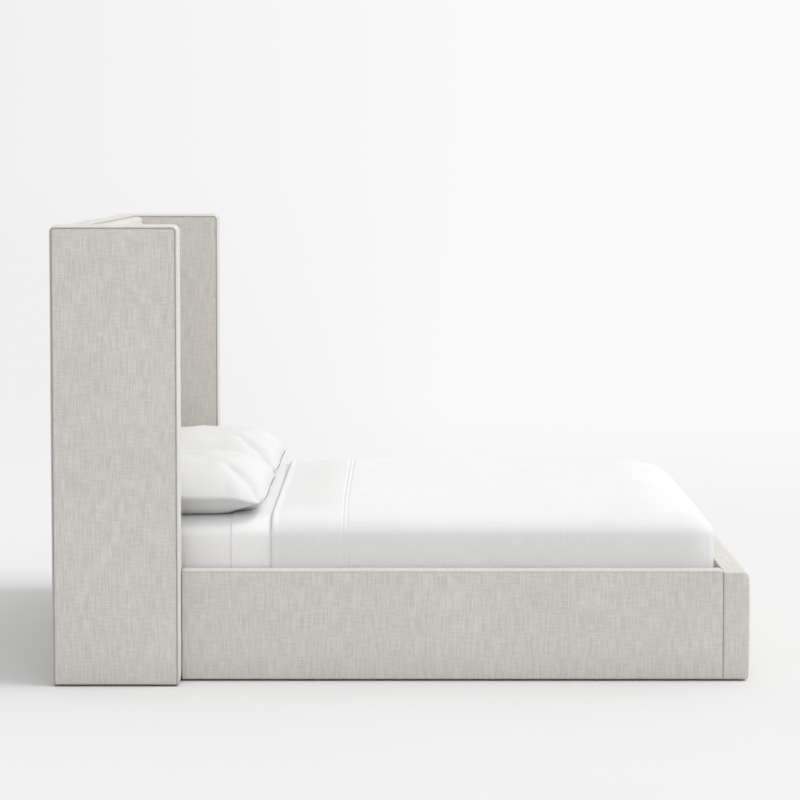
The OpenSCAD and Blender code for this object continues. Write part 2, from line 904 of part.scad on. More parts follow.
rail_outer_cover(1);  // rail_outer_cover_right
rail_top_cover(-1);  // rail_top_cover_left
rail_top_cover(1);  // rail_top_cover_right
rail_ledger(-1);  // rail_ledger_left
rail_ledger(1);  // rail_ledger_right
rail_bolts();
footboard_board();
footboard_foam();
footboard_cover();
corner_brackets();
bracket_screws();
centre_beam();
beam_hangers();
centre_legs();
leg_plugs();
leveller_pad(0);  // leveller_pad_head
leveller_pad(1);  // leveller_pad_middle
leveller_pad(2);  // leveller_pad_foot
leveller_stud(0);  // leveller_stud_head
leveller_stud(1);  // leveller_stud_middle
leveller_stud(2);  // leveller_stud_foot
slats();
slat_straps();
floor_glides();
mattress();
fitted_sheet();
flat_sheet();
duvet();
pillow(-1);  // pillow_left
pillow(1);  // pillow_right
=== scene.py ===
"""Dresses the wing bed: upholstery, bedding, hidden timber and hardware finishes, studio."""

import logging
import math
from collections.abc import Callable, Sequence
from dataclasses import dataclass, field
from enum import Enum

import bmesh
import bpy
from mathutils import Matrix, Vector, noise


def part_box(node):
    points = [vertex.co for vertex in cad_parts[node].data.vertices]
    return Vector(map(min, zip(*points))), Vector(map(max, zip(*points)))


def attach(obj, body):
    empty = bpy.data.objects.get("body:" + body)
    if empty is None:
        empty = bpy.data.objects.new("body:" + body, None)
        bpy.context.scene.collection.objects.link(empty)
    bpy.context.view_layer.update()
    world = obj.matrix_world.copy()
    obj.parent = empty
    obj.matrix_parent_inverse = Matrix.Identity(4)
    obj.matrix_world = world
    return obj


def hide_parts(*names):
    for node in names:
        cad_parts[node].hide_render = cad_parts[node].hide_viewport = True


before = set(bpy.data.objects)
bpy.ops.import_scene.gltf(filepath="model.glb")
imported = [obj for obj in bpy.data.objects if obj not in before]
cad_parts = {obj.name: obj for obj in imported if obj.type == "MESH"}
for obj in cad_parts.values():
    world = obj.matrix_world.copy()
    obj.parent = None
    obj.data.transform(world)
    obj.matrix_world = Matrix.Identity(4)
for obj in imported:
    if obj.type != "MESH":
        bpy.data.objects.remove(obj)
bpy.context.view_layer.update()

log = logging.getLogger("bed")

MM = 0.001
X_AXIS = Vector((1, 0, 0))
Y_AXIS = Vector((0, 1, 0))
Z_AXIS = Vector((0, 0, 1))
SAME_PLACE = 0.01 * MM
SEAM_SHADE = 1.6 * MM


class Side(Enum):
    """The bed's two long sides, seen from its foot."""

    LEFT = -1
    RIGHT = 1

    @property
    def word(self) -> str:
        """Ending that this side's pieces and nodes have."""
        return self.name.lower()


# ---------- small maths ----------


def smooth(t: float) -> float:
    """Eases t from 0 to 1.

    Args:
        t: Position, clamped to 0..1.

    Returns:
        The eased position.
    """
    t = min(max(t, 0.0), 1.0)
    return t * t * (3 - 2 * t)


def roll_off(e: float, r: float) -> float:
    """How far a quarter-round edge has dropped.

    Args:
        e: Distance in from the edge.
        r: Radius of the round.

    Returns:
        The drop, r at the edge itself and 0 from r inwards.
    """
    if e >= r:
        return 0.0
    e = max(e, 0.0)
    return r - math.sqrt(max(r * r - (r - e) ** 2, 0.0))


def ripple(x: float, y: float, z: float, size: float, seed: float = 0.0) -> float:
    """Smooth noise, about -1 to 1.

    Args:
        x: Place along the first direction.
        y: Place along the second direction.
        z: Place along the third direction.
        size: Length over which it changes.
        seed: Moves to another part of the noise.

    Returns:
        The noise value there.
    """
    return noise.noise(Vector((x / size + seed, y / size - seed, z / size + 3 * seed)))


def edge_lines(low: float, high: float, near: Sequence[float], pitch: float,
               extra: Sequence[float] = ()) -> list[float]:
    """Grid lines from low to high, closer together by the two ends.

    Args:
        low: First line.
        high: Last line.
        near: Distances in from each end that get a line, rising from 0.
        pitch: Widest spacing between the rest.
        extra: More places that get a line.

    Returns:
        The lines in rising order.
    """
    start, end = low + near[-1], high - near[-1]
    count = max(1, round((end - start) / pitch))
    lines = {round(low + d, 6) for d in near} | {round(high - d, 6) for d in near}
    lines |= {round(start + (end - start) * i / count, 6) for i in range(count + 1)}
    for place in extra:
        if low < place < high:
            lines = {v for v in lines if abs(v - place) > 0.0004 or v in (low, high)}
            lines.add(round(place, 6))
    return sorted(lines)


# Shares of a round's radius that split its quarter turn evenly
ROLL_LINES = (0, 0.076, 0.293, 0.617, 1.0)


def roll_lines(r: float, *more: float) -> list[float]:
    """Distances from an edge that draw its round cleanly.

    Args:
        r: Radius of the round.
        more: Further distances past the round.

    Returns:
        The distances in rising order.
    """
    return [r * k for k in ROLL_LINES] + [r + m for m in more]


# ---------- mesh helpers ----------


def new_object(name: str, bm: bmesh.types.BMesh, material: bpy.types.Material,
               weld: bool = True) -> bpy.types.Object:
    """Finishes a mesh and puts it in the scene as a smooth-shaded object at the origin.

    Args:
        name: Object name.
        bm: The mesh, freed here.
        material: Its finish.
        weld: Merge doubles and turn faces outwards first.

    Returns:
        The new object.
    """
    if weld:
        bmesh.ops.remove_doubles(bm, verts=bm.verts, dist=1e-6)
        bmesh.ops.dissolve_degenerate(bm, dist=1e-7, edges=bm.edges)
        bmesh.ops.recalc_face_normals(bm, faces=bm.faces)
    if not bm.loops.layers.uv:
        lay_cloth(bm)
    mesh = bpy.data.meshes.new(name)
    bm.to_mesh(mesh)
    bm.free()
    mesh.shade_smooth()
    mesh.materials.append(material)
    obj = bpy.data.objects.new(name, mesh)
    bpy.context.scene.collection.objects.link(obj)
    return obj


def map_threads(bm: bmesh.types.BMesh,
                place: Callable[[bmesh.types.BMFace, Vector], Sequence[float]]) -> None:
    """Gives a mesh the map that its cloth's threads follow, in metres.

    Args:
        bm: The mesh.
        place: Gives the place on the cloth for a face and one of its corners.
    """
    layer = bm.loops.layers.uv.new("cloth")
    for face in bm.faces:
        for loop in face.loops:
            loop[layer].uv = place(face, loop.vert.co)


def lay_cloth(bm: bmesh.types.BMesh) -> None:
    """Lays the cloth's threads over a mesh by which way each face looks.

    Args:
        bm: The mesh.
    """

    def seen(face: bmesh.types.BMFace, corner: Vector) -> Sequence[float]:
        """Place on the cloth, looking straight at the face."""
        n = face.normal
        if abs(n.y) >= max(abs(n.x), abs(n.z)):
            return corner.xz
        return corner.yz if abs(n.x) >= abs(n.z) else corner.xy

    bm.normal_update()
    map_threads(bm, seen)


def open_edges(bm: bmesh.types.BMesh) -> list[bmesh.types.BMEdge]:
    """Edges with a face on one side only."""
    return [e for e in bm.edges if e.is_boundary]


def grow_rim(bm: bmesh.types.BMesh, rim: Sequence[bmesh.types.BMEdge]
             ) -> tuple[list[bmesh.types.BMVert], list[bmesh.types.BMEdge]]:
    """Adds a row of faces along open edges, for the caller to move.

    Args:
        bm: The mesh.
        rim: Its open edges that grow.

    Returns:
        The new vertices and the new open edges.
    """
    grown = bmesh.ops.extrude_edge_only(bm, edges=rim)["geom"]
    verts = [g for g in grown if isinstance(g, bmesh.types.BMVert)]
    return verts, [g for g in grown if isinstance(g, bmesh.types.BMEdge) and g.is_boundary]


def carry_down(bm: bmesh.types.BMesh, rim: Sequence[bmesh.types.BMEdge], low_z: float,
               pitch: float, level: float) -> None:
    """Carries a level rim straight down in rows of faces.

    Args:
        bm: The mesh.
        rim: Its open edges that go down.
        low_z: Where the sides end.
        pitch: Height of a row.
        level: An edge that rises by less than this belongs to the next row's rim.
    """
    start = sum(v.co.z for e in rim for v in e.verts) / (2 * len(rim))
    rows = max(1, round((start - low_z) / pitch))
    for i in range(rows):
        verts, edges = grow_rim(bm, rim)
        for v in verts:
            v.co.z += (low_z - v.co.z) / (rows - i)
        rim = [e for e in edges if abs(e.verts[0].co.z - e.verts[1].co.z) < level]


def face_grid(xs: Sequence[float], ys: Sequence[float]) -> tuple[bmesh.types.BMesh, dict]:
    """A flat grid with chosen lines.

    Args:
        xs: Lines along X.
        ys: Lines along Y.

    Returns:
        The mesh, and its vertices by (column, row).
    """
    bm = bmesh.new()
    # Layer of painted shade next to the seams, read by the cloth finishes.
    bm.verts.layers.float.new("painted_seam_shade")
    nx, ny = len(xs) - 1, len(ys) - 1
    bmesh.ops.create_grid(bm, x_segments=nx, y_segments=ny, size=0.5)
    at = {}
    for v in bm.verts:
        i, j = round((v.co.x + 0.5) * nx), round((v.co.y + 0.5) * ny)
        v.co = (xs[i], ys[j], 0)
        at[i, j] = v
    return bm, at


def thicken(bm: bmesh.types.BMesh, inner: Callable[[Vector, Vector], Vector]) -> None:
    """Closes an open face into a body by adding its inner side and joining their rims.

    Args:
        bm: An open mesh.
        inner: Gives the inner point for a vertex's place and normal.
    """
    bm.normal_update()
    places = [(v.co.copy(), v.normal.copy()) for v in bm.verts]
    bm.verts.index_update()
    rim = open_edges(bm)
    copy = bmesh.ops.duplicate(bm, geom=bm.verts[:] + bm.edges[:] + bm.faces[:])
    twins = copy["vert_map"]
    back_faces = [g for g in copy["geom"] if isinstance(g, bmesh.types.BMFace)]
    bm.verts.ensure_lookup_table()
    pairs = [(v, twins[v]) for v in bm.verts[:len(places)]]
    for (place, normal), (_, twin) in zip(places, pairs):
        twin.co = inner(place, normal)
    bmesh.ops.reverse_faces(bm, faces=back_faces)
    back_rim = [copy["edge_map"][e] for e in rim]
    bmesh.ops.bridge_loops(bm, edges=rim + back_rim)


def shell(bm: bmesh.types.BMesh, thickness: float) -> None:
    """Gives an open face an even thickness, inwards."""
    thicken(bm, lambda place, normal: place - normal * thickness)


def close_behind(bm: bmesh.types.BMesh, depth: float) -> None:
    """Carries a lying face's rim down to one level and fills the back.

    Args:
        bm: An open mesh that looks up.
        depth: How far below its lowest point the back lies.
    """
    level = min(v.co.z for v in bm.verts) - depth
    verts, rim = grow_rim(bm, open_edges(bm))
    for v in verts:
        v.co.z = level
    bmesh.ops.contextual_create(bm, geom=rim)


@dataclass
class Station:
    """A place on a path, with the way that is outwards there."""

    place: Vector
    out: Vector


def sweep(stations: Sequence[Station], across: Vector,
          section: Callable[[int, float], Sequence[tuple[float, float]]],
          one_seam: bool = False) -> bmesh.types.BMesh:
    """Draws a strip along a path.

    Args:
        stations: The path.
        across: Direction across the strip.
        section: Gives (distance across, distance outwards) points for a station's number and
            its distance along the path.
        one_seam: Only the first edge is sewn, so only it gets painted seam shade.

    Returns:
        The open strip.
    """
    run = [0.0]
    for a, b in zip(stations, stations[1:]):
        run.append(run[-1] + (b.place - a.place).length)
    first = section(0, 0.0)
    bm, at = face_grid(range(len(stations)), range(len(first)))
    lengths = [0.0]
    for (a, b), (c, d) in zip(first, first[1:]):
        lengths.append(lengths[-1] + math.hypot(c - a, d - b))
    map_threads(bm, lambda _, corner: (lengths[round(corner.y)], run[round(corner.x)]))
    painted_seam_shade = bm.verts.layers.float["painted_seam_shade"]
    for i, station in enumerate(stations):
        points = section(i, run[i])
        for j, (v, h) in enumerate(points):
            at[i, j].co = station.place + across * v + station.out * h
            e = v - points[0][0] if one_seam else min(v - points[0][0], points[-1][0] - v)
            # painted shade fading in from the seams
            at[i, j][painted_seam_shade] = math.exp(-e / SEAM_SHADE)
    return bm


@dataclass
class Panel:
    """A padded rectangle that rounds over into the seams at its edges.

    It is drawn lying down, a along X, b along Y and its face up, then put in place.
    """

    a0: float
    a1: float
    b0: float
    b1: float
    roll: float = 4 * MM
    rise: float = 1.8 * MM
    crown: float = 2.6 * MM
    corners: tuple[float, float, float, float] = (0, 0, 0, 0)
    pitch: float = 12 * MM
    pucker: float = 0.25 * MM
    back: float = 2 * MM
    # share of painted shade along the seams
    seam_shade_share: float = 1.0
    seed: float = 0.0
    fill_reach: float = 70 * MM
    crease_reach: float = 18 * MM
    crease_size: float = 22 * MM
    sway_size: float = 340 * MM
    sway_share: float = 1.6

    def corner(self, a: float, b: float) -> tuple[float, bool, bool]:
        """Radius of the nearest corner, and whether it is the low one along a and along b."""
        ll, lr, hr, hl = self.corners
        low_a, low_b = a - self.a0 < self.a1 - a, b - self.b0 < self.b1 - b
        return ((ll if low_a else lr) if low_b else (hl if low_a else hr)), low_a, low_b

    def inset(self, a: float, b: float) -> float:
        """Distance from a point in to the panel's outline."""
        r, _, _ = self.corner(a, b)
        da, db = min(a - self.a0, self.a1 - a), min(b - self.b0, self.b1 - b)
        if r > 0 and da < r and db < r:
            return r - math.hypot(r - da, r - db)
        return min(da, db)

    def rounded(self, a: float, b: float) -> tuple[float, float]:
        """Moves a grid point so that the outline follows its rounded corners.

        Args:
            a: Place along a.
            b: Place along b.

        Returns:
            The moved place.
        """
        r, low_a, low_b = self.corner(a, b)
        ca = self.a0 + r if low_a else self.a1 - r
        cb = self.b0 + r if low_b else self.b1 - r
        s, t = (ca - a) * (1 if low_a else -1), (cb - b) * (1 if low_b else -1)
        if r <= 0 or s <= 0 or t <= 0:
            return a, b
        k = max(s, t) / math.hypot(s, t)
        return ca + (a - ca) * k, cb + (b - cb) * k

    def filled(self, a: float, b: float, e: float) -> tuple[float, float]:
        """How the filling lifts the cloth at a point.

        Args:
            a: Place along a.
            b: Place along b.
            e: Distance in from the nearest seam.

        Returns:
            The crown there, and the puckers on top of it.
        """
        fullness = 1 - math.exp(-e / self.fill_reach)
        crease = math.exp(-e / self.crease_reach) * ripple(a, b, 0, self.crease_size, self.seed)
        sway = fullness * ripple(a, b, 0, self.sway_size, self.seed + 5)
        puckers = self.pucker * (crease + self.sway_share * sway) * smooth(e / self.roll)
        return self.crown * fullness, puckers

    def height(self, a: float, b: float) -> float:
        """Height of the face above its seam plane."""
        e = self.inset(a, b)
        crown, puckers = self.filled(a, b, e)
        return self.rise + crown - roll_off(e, self.roll) + puckers

    def draw(self) -> bmesh.types.BMesh:
        """The panel lying down, open at the back."""
        radii = [r for r in self.corners if r > 0]
        near = roll_lines(self.roll, 2 * MM, 5 * MM, 10 * MM, 18 * MM)
        if radii:
            near = sorted(set(near) | {max(radii)})
        bm, _ = face_grid(edge_lines(self.a0, self.a1, near, self.pitch),
                          edge_lines(self.b0, self.b1, near, self.pitch))
        map_threads(bm, lambda _, corner: corner.xy)
        painted_seam_shade = bm.verts.layers.float["painted_seam_shade"]
        for v in bm.verts:
            a, b = self.rounded(v.co.x, v.co.y)
            v.co = (a, b, self.height(a, b))
            # painted shade fading in from the panel's seams
            v[painted_seam_shade] = self.seam_shade_share * math.exp(-self.inset(a, b) / SEAM_SHADE)
        return bm

    def placed(self, origin: Vector, along_a: Vector, along_b: Vector, out: Vector,
               closed: bool = True) -> bmesh.types.BMesh:
        """The panel in its place.

        Args:
            origin: Where a and b are 0 and the height is 0.
            along_a: Direction of a.
            along_b: Direction of b.
            out: Direction that its face looks.
            closed: Give it a back.

        Returns:
            The finished mesh.
        """
        bm = self.draw()
        if closed:
            close_behind(bm, self.back)
        turn = Matrix((along_a, along_b, out)).transposed().to_4x4()
        bmesh.ops.transform(bm, matrix=Matrix.Translation(origin) @ turn, verts=bm.verts)
        return bm


def stitch_row(bm: bmesh.types.BMesh, line: Sequence[tuple[Vector, Vector]], length: float,
               gap: float = 1.4 * MM, thick: float = 0.55 * MM, proud: float = 0.15) -> None:
    """Lays small thread stitches along a line.

    Args:
        bm: Mesh that receives them.
        line: Its points, each with the way that is outwards there.
        length: Length of one stitch.
        gap: Space between stitches.
        thick: Thread thickness.
        proud: Share of that thickness by which a stitch's middle stands out.
    """
    due = 0.0
    for (a, up), (b, _) in zip(line, line[1:]):
        span = (b - a).length
        if span < SAME_PLACE / 100:
            continue
        ahead = (b - a) / span
        while due < span:
            side = ahead.cross(up).normalized()
            turn = Matrix((ahead, side, up.normalized())).transposed().to_4x4()
            spot = Matrix.Translation(a + ahead * due + up * thick * proud) @ turn
            size = Matrix.Diagonal((length / 2, thick / 2, thick / 2, 1))
            bmesh.ops.create_icosphere(bm, subdivisions=1, radius=1.0, matrix=spot @ size)
            due += length + gap
        due -= span


def finish_piece(obj: bpy.types.Object, body: str, slot: str, *nodes: str) -> bpy.types.Object:
    """Puts a piece on its body, hides the nodes that it stands for and logs them.

    Args:
        obj: The piece.
        body: The body that it rides on.
        slot: Its material slot; not used.
        nodes: The nodes that it stands for, if any.

    Returns:
        The same piece.
    """
    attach(obj, body)
    if nodes:
        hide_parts(*nodes)
    log.info("%s: %d faces on %s, for %s", obj.name, len(obj.data.polygons), body,
             ", ".join(nodes) or "its own detail")
    return obj


# ---------- finishes ----------


class Tree:
    """Adds and joins nodes in a material, a world or a node group."""

    def __init__(self, tree: bpy.types.NodeTree) -> None:
        """Takes the tree to work in."""
        self.tree = tree

    def add(self, kind: str, inputs: dict | None = None, **settings: object) -> bpy.types.Node:
        """Adds a node.

        Args:
            kind: Node type, without its ShaderNode prefix.
            inputs: Values or output sockets by input name or number.
            settings: Properties of the node itself.

        Returns:
            The node.
        """
        node = self.tree.nodes.new("NodeGroup" + kind if kind in ("Input", "Output")
                                   else "ShaderNode" + kind)
        for name, value in settings.items():
            setattr(node, name, value)
        for key, value in (inputs or {}).items():
            if isinstance(value, bpy.types.NodeSocket):
                self.tree.links.new(value, node.inputs[key])
            else:
                node.inputs[key].default_value = value
        return node

    def maths(self, what: str, a: object, b: object = 0.0, c: object = 0.0) -> bpy.types.NodeSocket:
        """One step of arithmetic on numbers or sockets."""
        return self.add("Math", {0: a, 1: b, 2: c}, operation=what).outputs[0]

    def stretched(self, vector: bpy.types.NodeSocket, scale: tuple[float, float, float],
                  detail: float = 2.0, rough: float = 0.5) -> bpy.types.NodeSocket:
        """Noise whose grains are longer one way than the other."""
        place = self.add("Mapping", {"Vector": vector, "Scale": scale})
        return self.add("TexNoise", {"Vector": place.outputs[0], "Scale": 1.0, "Detail": detail,
                                     "Roughness": rough}).outputs["Fac"]

    def blend(self, factor: object, a: object, b: object, how: str = "MIX") -> bpy.types.NodeSocket:
        """Mixes two colours.

        Args:
            factor: Share of the second colour.
            a: First colour.
            b: Second colour.
            how: Blend type.

        Returns:
            The mixed colour.
        """
        node = self.add("Mix", data_type="RGBA", blend_type=how)
        for index, value in ((0, factor), (6, a), (7, b)):
            if isinstance(value, bpy.types.NodeSocket):
                self.tree.links.new(value, node.inputs[index])
            else:
                node.inputs[index].default_value = value
        return node.outputs[2]

    def bump(self, strength: float, distance: float, height: bpy.types.NodeSocket,
             invert: bool = False) -> bpy.types.NodeSocket:
        """Normal of a surface raised by height, or sunk by it."""
        return self.add("Bump", {"Strength": strength, "Distance": distance, "Height": height},
                        invert=invert).outputs[0]

    def weighed(self, *parts: tuple[object, object]) -> bpy.types.NodeSocket:
        """Adds up sockets, each multiplied by its weight."""
        total = self.maths("MULTIPLY", *parts[-1])
        for part in reversed(parts[:-1]):
            total = self.maths("ADD", self.maths("MULTIPLY", *part), total)
        return total

    def spread(self, value: bpy.types.NodeSocket, low: float, high: float,
               to_low: float = 0.0, to_high: float = 1.0) -> bpy.types.NodeSocket:
        """Maps low..high to to_low..to_high, clamped."""
        return self.add("MapRange", {"Value": value, "From Min": low, "From Max": high,
                                     "To Min": to_low, "To Max": to_high}).outputs[0]


@dataclass(frozen=True)
class Effect:
    """A shared surface effect, kept as one node group with named inputs and outputs."""

    name: str
    takes: tuple[tuple[str, float], ...]
    gives: tuple[str, ...]
    draw: Callable[[Tree, dict], dict]

    def group(self) -> bpy.types.NodeTree:
        """The node group, built the first time it is asked for."""
        found = bpy.data.node_groups.get(self.name)
        if found:
            return found
        group = bpy.data.node_groups.new(self.name, "ShaderNodeTree")
        group.interface.new_socket("Vector", in_out="INPUT", socket_type="NodeSocketVector")
        for name, value in self.takes:
            socket = group.interface.new_socket(name, in_out="INPUT", socket_type="NodeSocketFloat")
            socket.default_value = value
        for name in self.gives:
            group.interface.new_socket(name, in_out="OUTPUT", socket_type="NodeSocketFloat")
        tree = Tree(group)
        start, end = tree.add("Input"), tree.add("Output")
        for name, socket in self.draw(tree, start.outputs).items():
            group.links.new(socket, end.inputs[name])
        return group

    def put(self, tree: Tree, vector: bpy.types.NodeSocket, **values: object) -> bpy.types.NodeSocket:
        """Places the effect in a material.

        Args:
            tree: The material's tree.
            vector: Coordinates it follows.
            values: Its inputs, with spaces written as underscores.

        Returns:
            Its outputs.
        """
        node = tree.add("Group", node_tree=self.group())
        tree.tree.links.new(vector, node.inputs["Vector"])
        for key, value in values.items():
            node.inputs[key.replace("_", " ")].default_value = value
        return node.outputs


def draw_slub(tree: Tree, given: dict) -> dict:
    """Plain weave of uneven yarns: a raised checker of threads with long thick places.

    Args:
        tree: The group's tree.
        given: The group's inputs by name.

    Returns:
        The outputs by name.
    """
    vector, pitch = given["Vector"], given["Thread Pitch"]
    apart = tree.add("SeparateXYZ", {0: vector})
    waver = tree.stretched(vector, (90, 90, 1), 1)
    turns = []
    for axis in ("X", "Y"):
        count = tree.maths("DIVIDE", apart.outputs[axis], pitch)
        count = tree.maths("MULTIPLY_ADD", waver, 0.9, count)
        turns.append(tree.maths("SINE", tree.maths("MULTIPLY", count, math.pi)))
    warp, weft = (tree.maths("ABSOLUTE", t) for t in turns)
    over = tree.spread(tree.maths("MULTIPLY", turns[0], turns[1]), -0.25, 0.25)
    weave = tree.weighed((warp, over), (weft, tree.maths("SUBTRACT", 1.0, over)))
    upright = tree.stretched(vector, (210, 13, 1), 2, 0.6)
    level = tree.stretched(vector, (20, 200, 1), 2, 0.6)
    flecks = tree.stretched(vector, (300, 240, 1), 1)
    slub = tree.weighed((upright, 0.54), (level, 0.36), (flecks, 0.10))
    tone = tree.spread(slub, 0.41, 0.59)
    height = tree.weighed((weave, given["Weave"]), (tone, given["Slub"]))
    return {"Tone": tone, "Height": height, "Weave": weave}


def draw_percale(tree: Tree, given: dict) -> dict:
    """Fine close cotton: faint threads, soft drape lines and a few pressed creases.

    Args:
        tree: The group's tree.
        given: The group's inputs by name.

    Returns:
        The outputs by name.
    """
    vector = given["Vector"]
    threads = tree.stretched(vector, (900, 900, 1), 1)
    drape = tree.stretched(vector, (5, 2.2, 1), 3, 0.45)
    warped = tree.add("VectorMath", {0: vector}, operation="ADD")
    bend = tree.add("TexNoise", {"Vector": vector, "Scale": 3.1, "Detail": 2.0})
    tree.tree.links.new(bend.outputs["Color"], warped.inputs[1])
    cells = tree.add("TexVoronoi", {"Vector": warped.outputs[0], "Scale": 5.5},
                     feature="DISTANCE_TO_EDGE")
    crease = tree.spread(cells.outputs["Distance"], 0.0, 0.07, 1.0, 0.0)
    crumple = tree.maths("MULTIPLY", crease, tree.stretched(vector, (7, 7, 1), 1))
    height = tree.weighed((threads, given["Threads"]), (drape, given["Drape"]),
                          (crumple, given["Creases"]))
    return {"Tone": tree.spread(drape, 0.3, 0.7), "Height": height, "Crease": crumple}


def draw_handling(tree: Tree, given: dict) -> dict:
    """Uneven nap over a whole piece, and a darkening low down near the floor: dust on hardware, and on
    the linen painted shade with a little dust.

    Args:
        tree: The group's tree.
        given: The group's inputs by name.

    Returns:
        The outputs by name.
    """
    vector = given["Vector"]
    broad = tree.stretched(vector, (3.2, 3.2, 3.2), 3, 0.55)
    patch = tree.stretched(vector, (14, 14, 14), 2)
    nap = tree.weighed((broad, 0.7), (patch, 0.3))
    low = tree.spread(tree.add("SeparateXYZ", {0: vector}).outputs["Z"], 0.0, given["Dust Height"],
                      1.0, 0.0)
    patchy = tree.spread(patch, 0.2, 0.8, 0.4, 1.0)
    dust = tree.maths("MULTIPLY", tree.maths("MULTIPLY", low, low), patchy)
    return {"Nap": tree.spread(nap, 0.3, 0.7), "Dust": dust}


def draw_grain(tree: Tree, given: dict) -> dict:
    """Wood grain along X: broad growth bands, fine pores and an occasional darker streak.

    Args:
        tree: The group's tree.
        given: The group's inputs by name.

    Returns:
        The outputs by name.
    """
    vector = given["Vector"]
    place = tree.add("Mapping", {"Vector": vector, "Scale": (0.9, 9, 9)})
    sway = tree.add("TexNoise", {"Vector": place.outputs[0], "Scale": 2.0, "Detail": 3.0})
    bands = tree.maths("SINE", tree.maths("MULTIPLY", sway.outputs["Fac"], given["Bands"]))
    pores = tree.stretched(vector, (22, 900, 900), 2)
    streak = tree.stretched(vector, (1.5, 60, 60), 2)
    tone = tree.weighed((bands, 0.22), (pores, 0.35), (streak, 0.55))
    return {"Tone": tree.spread(tone, 0.2, 0.8), "Height": pores}


def draw_scuffs(tree: Tree, given: dict) -> dict:
    """Scuffs and haze on hard parts.

    Args:
        tree: The group's tree.
        given: The group's inputs by name.

    Returns:
        The outputs by name.
    """
    vector = given["Vector"]
    lines = tree.stretched(vector, (40, 900, 260), 2, 0.7)
    haze = tree.stretched(vector, (30, 30, 30), 3)
    return {"Scuff": tree.maths("MULTIPLY", tree.spread(lines, 0.55, 0.75), given["Amount"]),
            "Haze": haze, "Height": lines}


SLUB = Effect("slub_weave", (("Thread Pitch", 0.0016), ("Weave", 0.5), ("Slub", 0.5)),
              ("Tone", "Height", "Weave"), draw_slub)
PERCALE = Effect("percale", (("Threads", 0.02), ("Drape", 0.6), ("Creases", 0.3)),
                 ("Tone", "Height", "Crease"), draw_percale)
HANDLING = Effect("handling", (("Dust Height", 0.16),), ("Nap", "Dust"), draw_handling)
GRAIN = Effect("wood_grain", (("Bands", 40.0),), ("Tone", "Height"), draw_grain)
SCUFFS = Effect("scuffs", (("Amount", 0.6),), ("Scuff", "Haze", "Height"), draw_scuffs)

Colour = tuple[float, float, float]
# colour that the linen darkens to near the floor: painted shade with a little dust
CLOTH_DUST_AND_SHADE: Colour = (0.34, 0.32, 0.30)
METAL_DUST: Colour = (0.35, 0.33, 0.30)


def rgba(colour: Colour, times: float = 1.0) -> tuple[float, float, float, float]:
    """A colour with its alpha, made lighter or darker by times."""
    return (*(c * times for c in colour), 1.0)


class Finish:
    """A material that is made once and kept under its own name."""

    name: str

    def made(self) -> bpy.types.Material:
        """The material, drawn the first time it is asked for."""
        label = f"{self.name}_finish"
        found = bpy.data.materials.get(label)
        if found:
            return found
        material = bpy.data.materials.new(label)
        material.use_nodes = True
        material.node_tree.nodes.clear()
        tree = Tree(material.node_tree)
        shader = tree.add("BsdfPrincipled")
        tree.add("OutputMaterial", {"Surface": shader.outputs[0]})
        self.dress(tree, shader)
        return material

    def dress(self, tree: Tree, shader: bpy.types.Node) -> None:
        """Adds this finish's own nodes."""
        raise NotImplementedError

    @staticmethod
    def join(tree: Tree, shader: bpy.types.Node, **values: object) -> None:
        """Sets the shader's sockets by name, with spaces written as underscores.

        Args:
            tree: The material's tree.
            shader: The shader.
            values: Values or output sockets.
        """
        for key, value in values.items():
            socket = shader.inputs[key.replace("_", " ")]
            if isinstance(value, bpy.types.NodeSocket):
                tree.tree.links.new(value, socket)
            else:
                socket.default_value = value

    @staticmethod
    def cloth_place(tree: Tree) -> bpy.types.NodeSocket:
        """Coordinates along the cloth's threads, in metres."""
        return tree.add("UVMap", uv_map="cloth").outputs[0]

    @staticmethod
    def seam_shade_mask(tree: Tree) -> bpy.types.NodeSocket:
        """How much painted shade a seam lays on the surface, from 0 to 1."""
        return tree.add("Attribute", attribute_name="painted_seam_shade").outputs["Fac"]

    @staticmethod
    def object_place(tree: Tree) -> bpy.types.NodeSocket:
        """Coordinates in the piece's own frame, in metres."""
        return tree.add("TexCoord").outputs["Object"]


@dataclass(frozen=True)
class Linen(Finish):
    """Slubby linen-look upholstery cloth."""

    name: str
    colour: Colour
    contrast: float = 0.10
    weave: float = 0.55
    bump: float = 0.0009
    mapped: bool = True

    def dress(self, tree: Tree, shader: bpy.types.Node) -> None:
        """Yarn tones, raised weave with painted shade in its hollows, uneven nap, painted shade with a
        little dust near the floor, and painted shade along the seams.

        Args:
            tree: The material's tree.
            shader: Its shader, which receives the result.
        """
        body = self.object_place(tree)
        cloth = SLUB.put(tree, self.cloth_place(tree) if self.mapped else body, Weave=self.weave)
        worn = HANDLING.put(tree, body)
        yarn = tree.blend(cloth["Tone"], rgba(self.colour, 1 - self.contrast),
                          rgba(self.colour, 1 + self.contrast * 0.8))
        # painted shade in the hollows of the weave
        weave_pit_shade = tree.spread(cloth["Weave"], 0.0, 0.9, 0.14, 0.0)
        yarn = tree.blend(weave_pit_shade, yarn, rgba(self.colour, 0.6))
        nap = tree.spread(worn["Nap"], 0.0, 1.0, 0.965, 1.02)
        lit = tree.add("VectorMath", {0: yarn, "Scale": nap}, operation="SCALE").outputs[0]
        # darker towards the floor: painted shade with a little dust
        dusty = tree.blend(tree.maths("MULTIPLY", worn["Dust"], 0.26), lit, rgba(CLOTH_DUST_AND_SHADE))
        # painted shade along the seams
        sewn = tree.maths("MULTIPLY", self.seam_shade_mask(tree), 0.8)
        self.join(tree, shader, Base_Color=tree.blend(sewn, dusty, rgba(self.colour, 0.32)),
                  Normal=tree.bump(0.8, self.bump, cloth["Height"]),
                  Roughness=tree.spread(cloth["Tone"], 0, 1, 0.96, 0.84),
                  Specular_IOR_Level=0.25, Sheen_Weight=0.5, Sheen_Roughness=0.45)


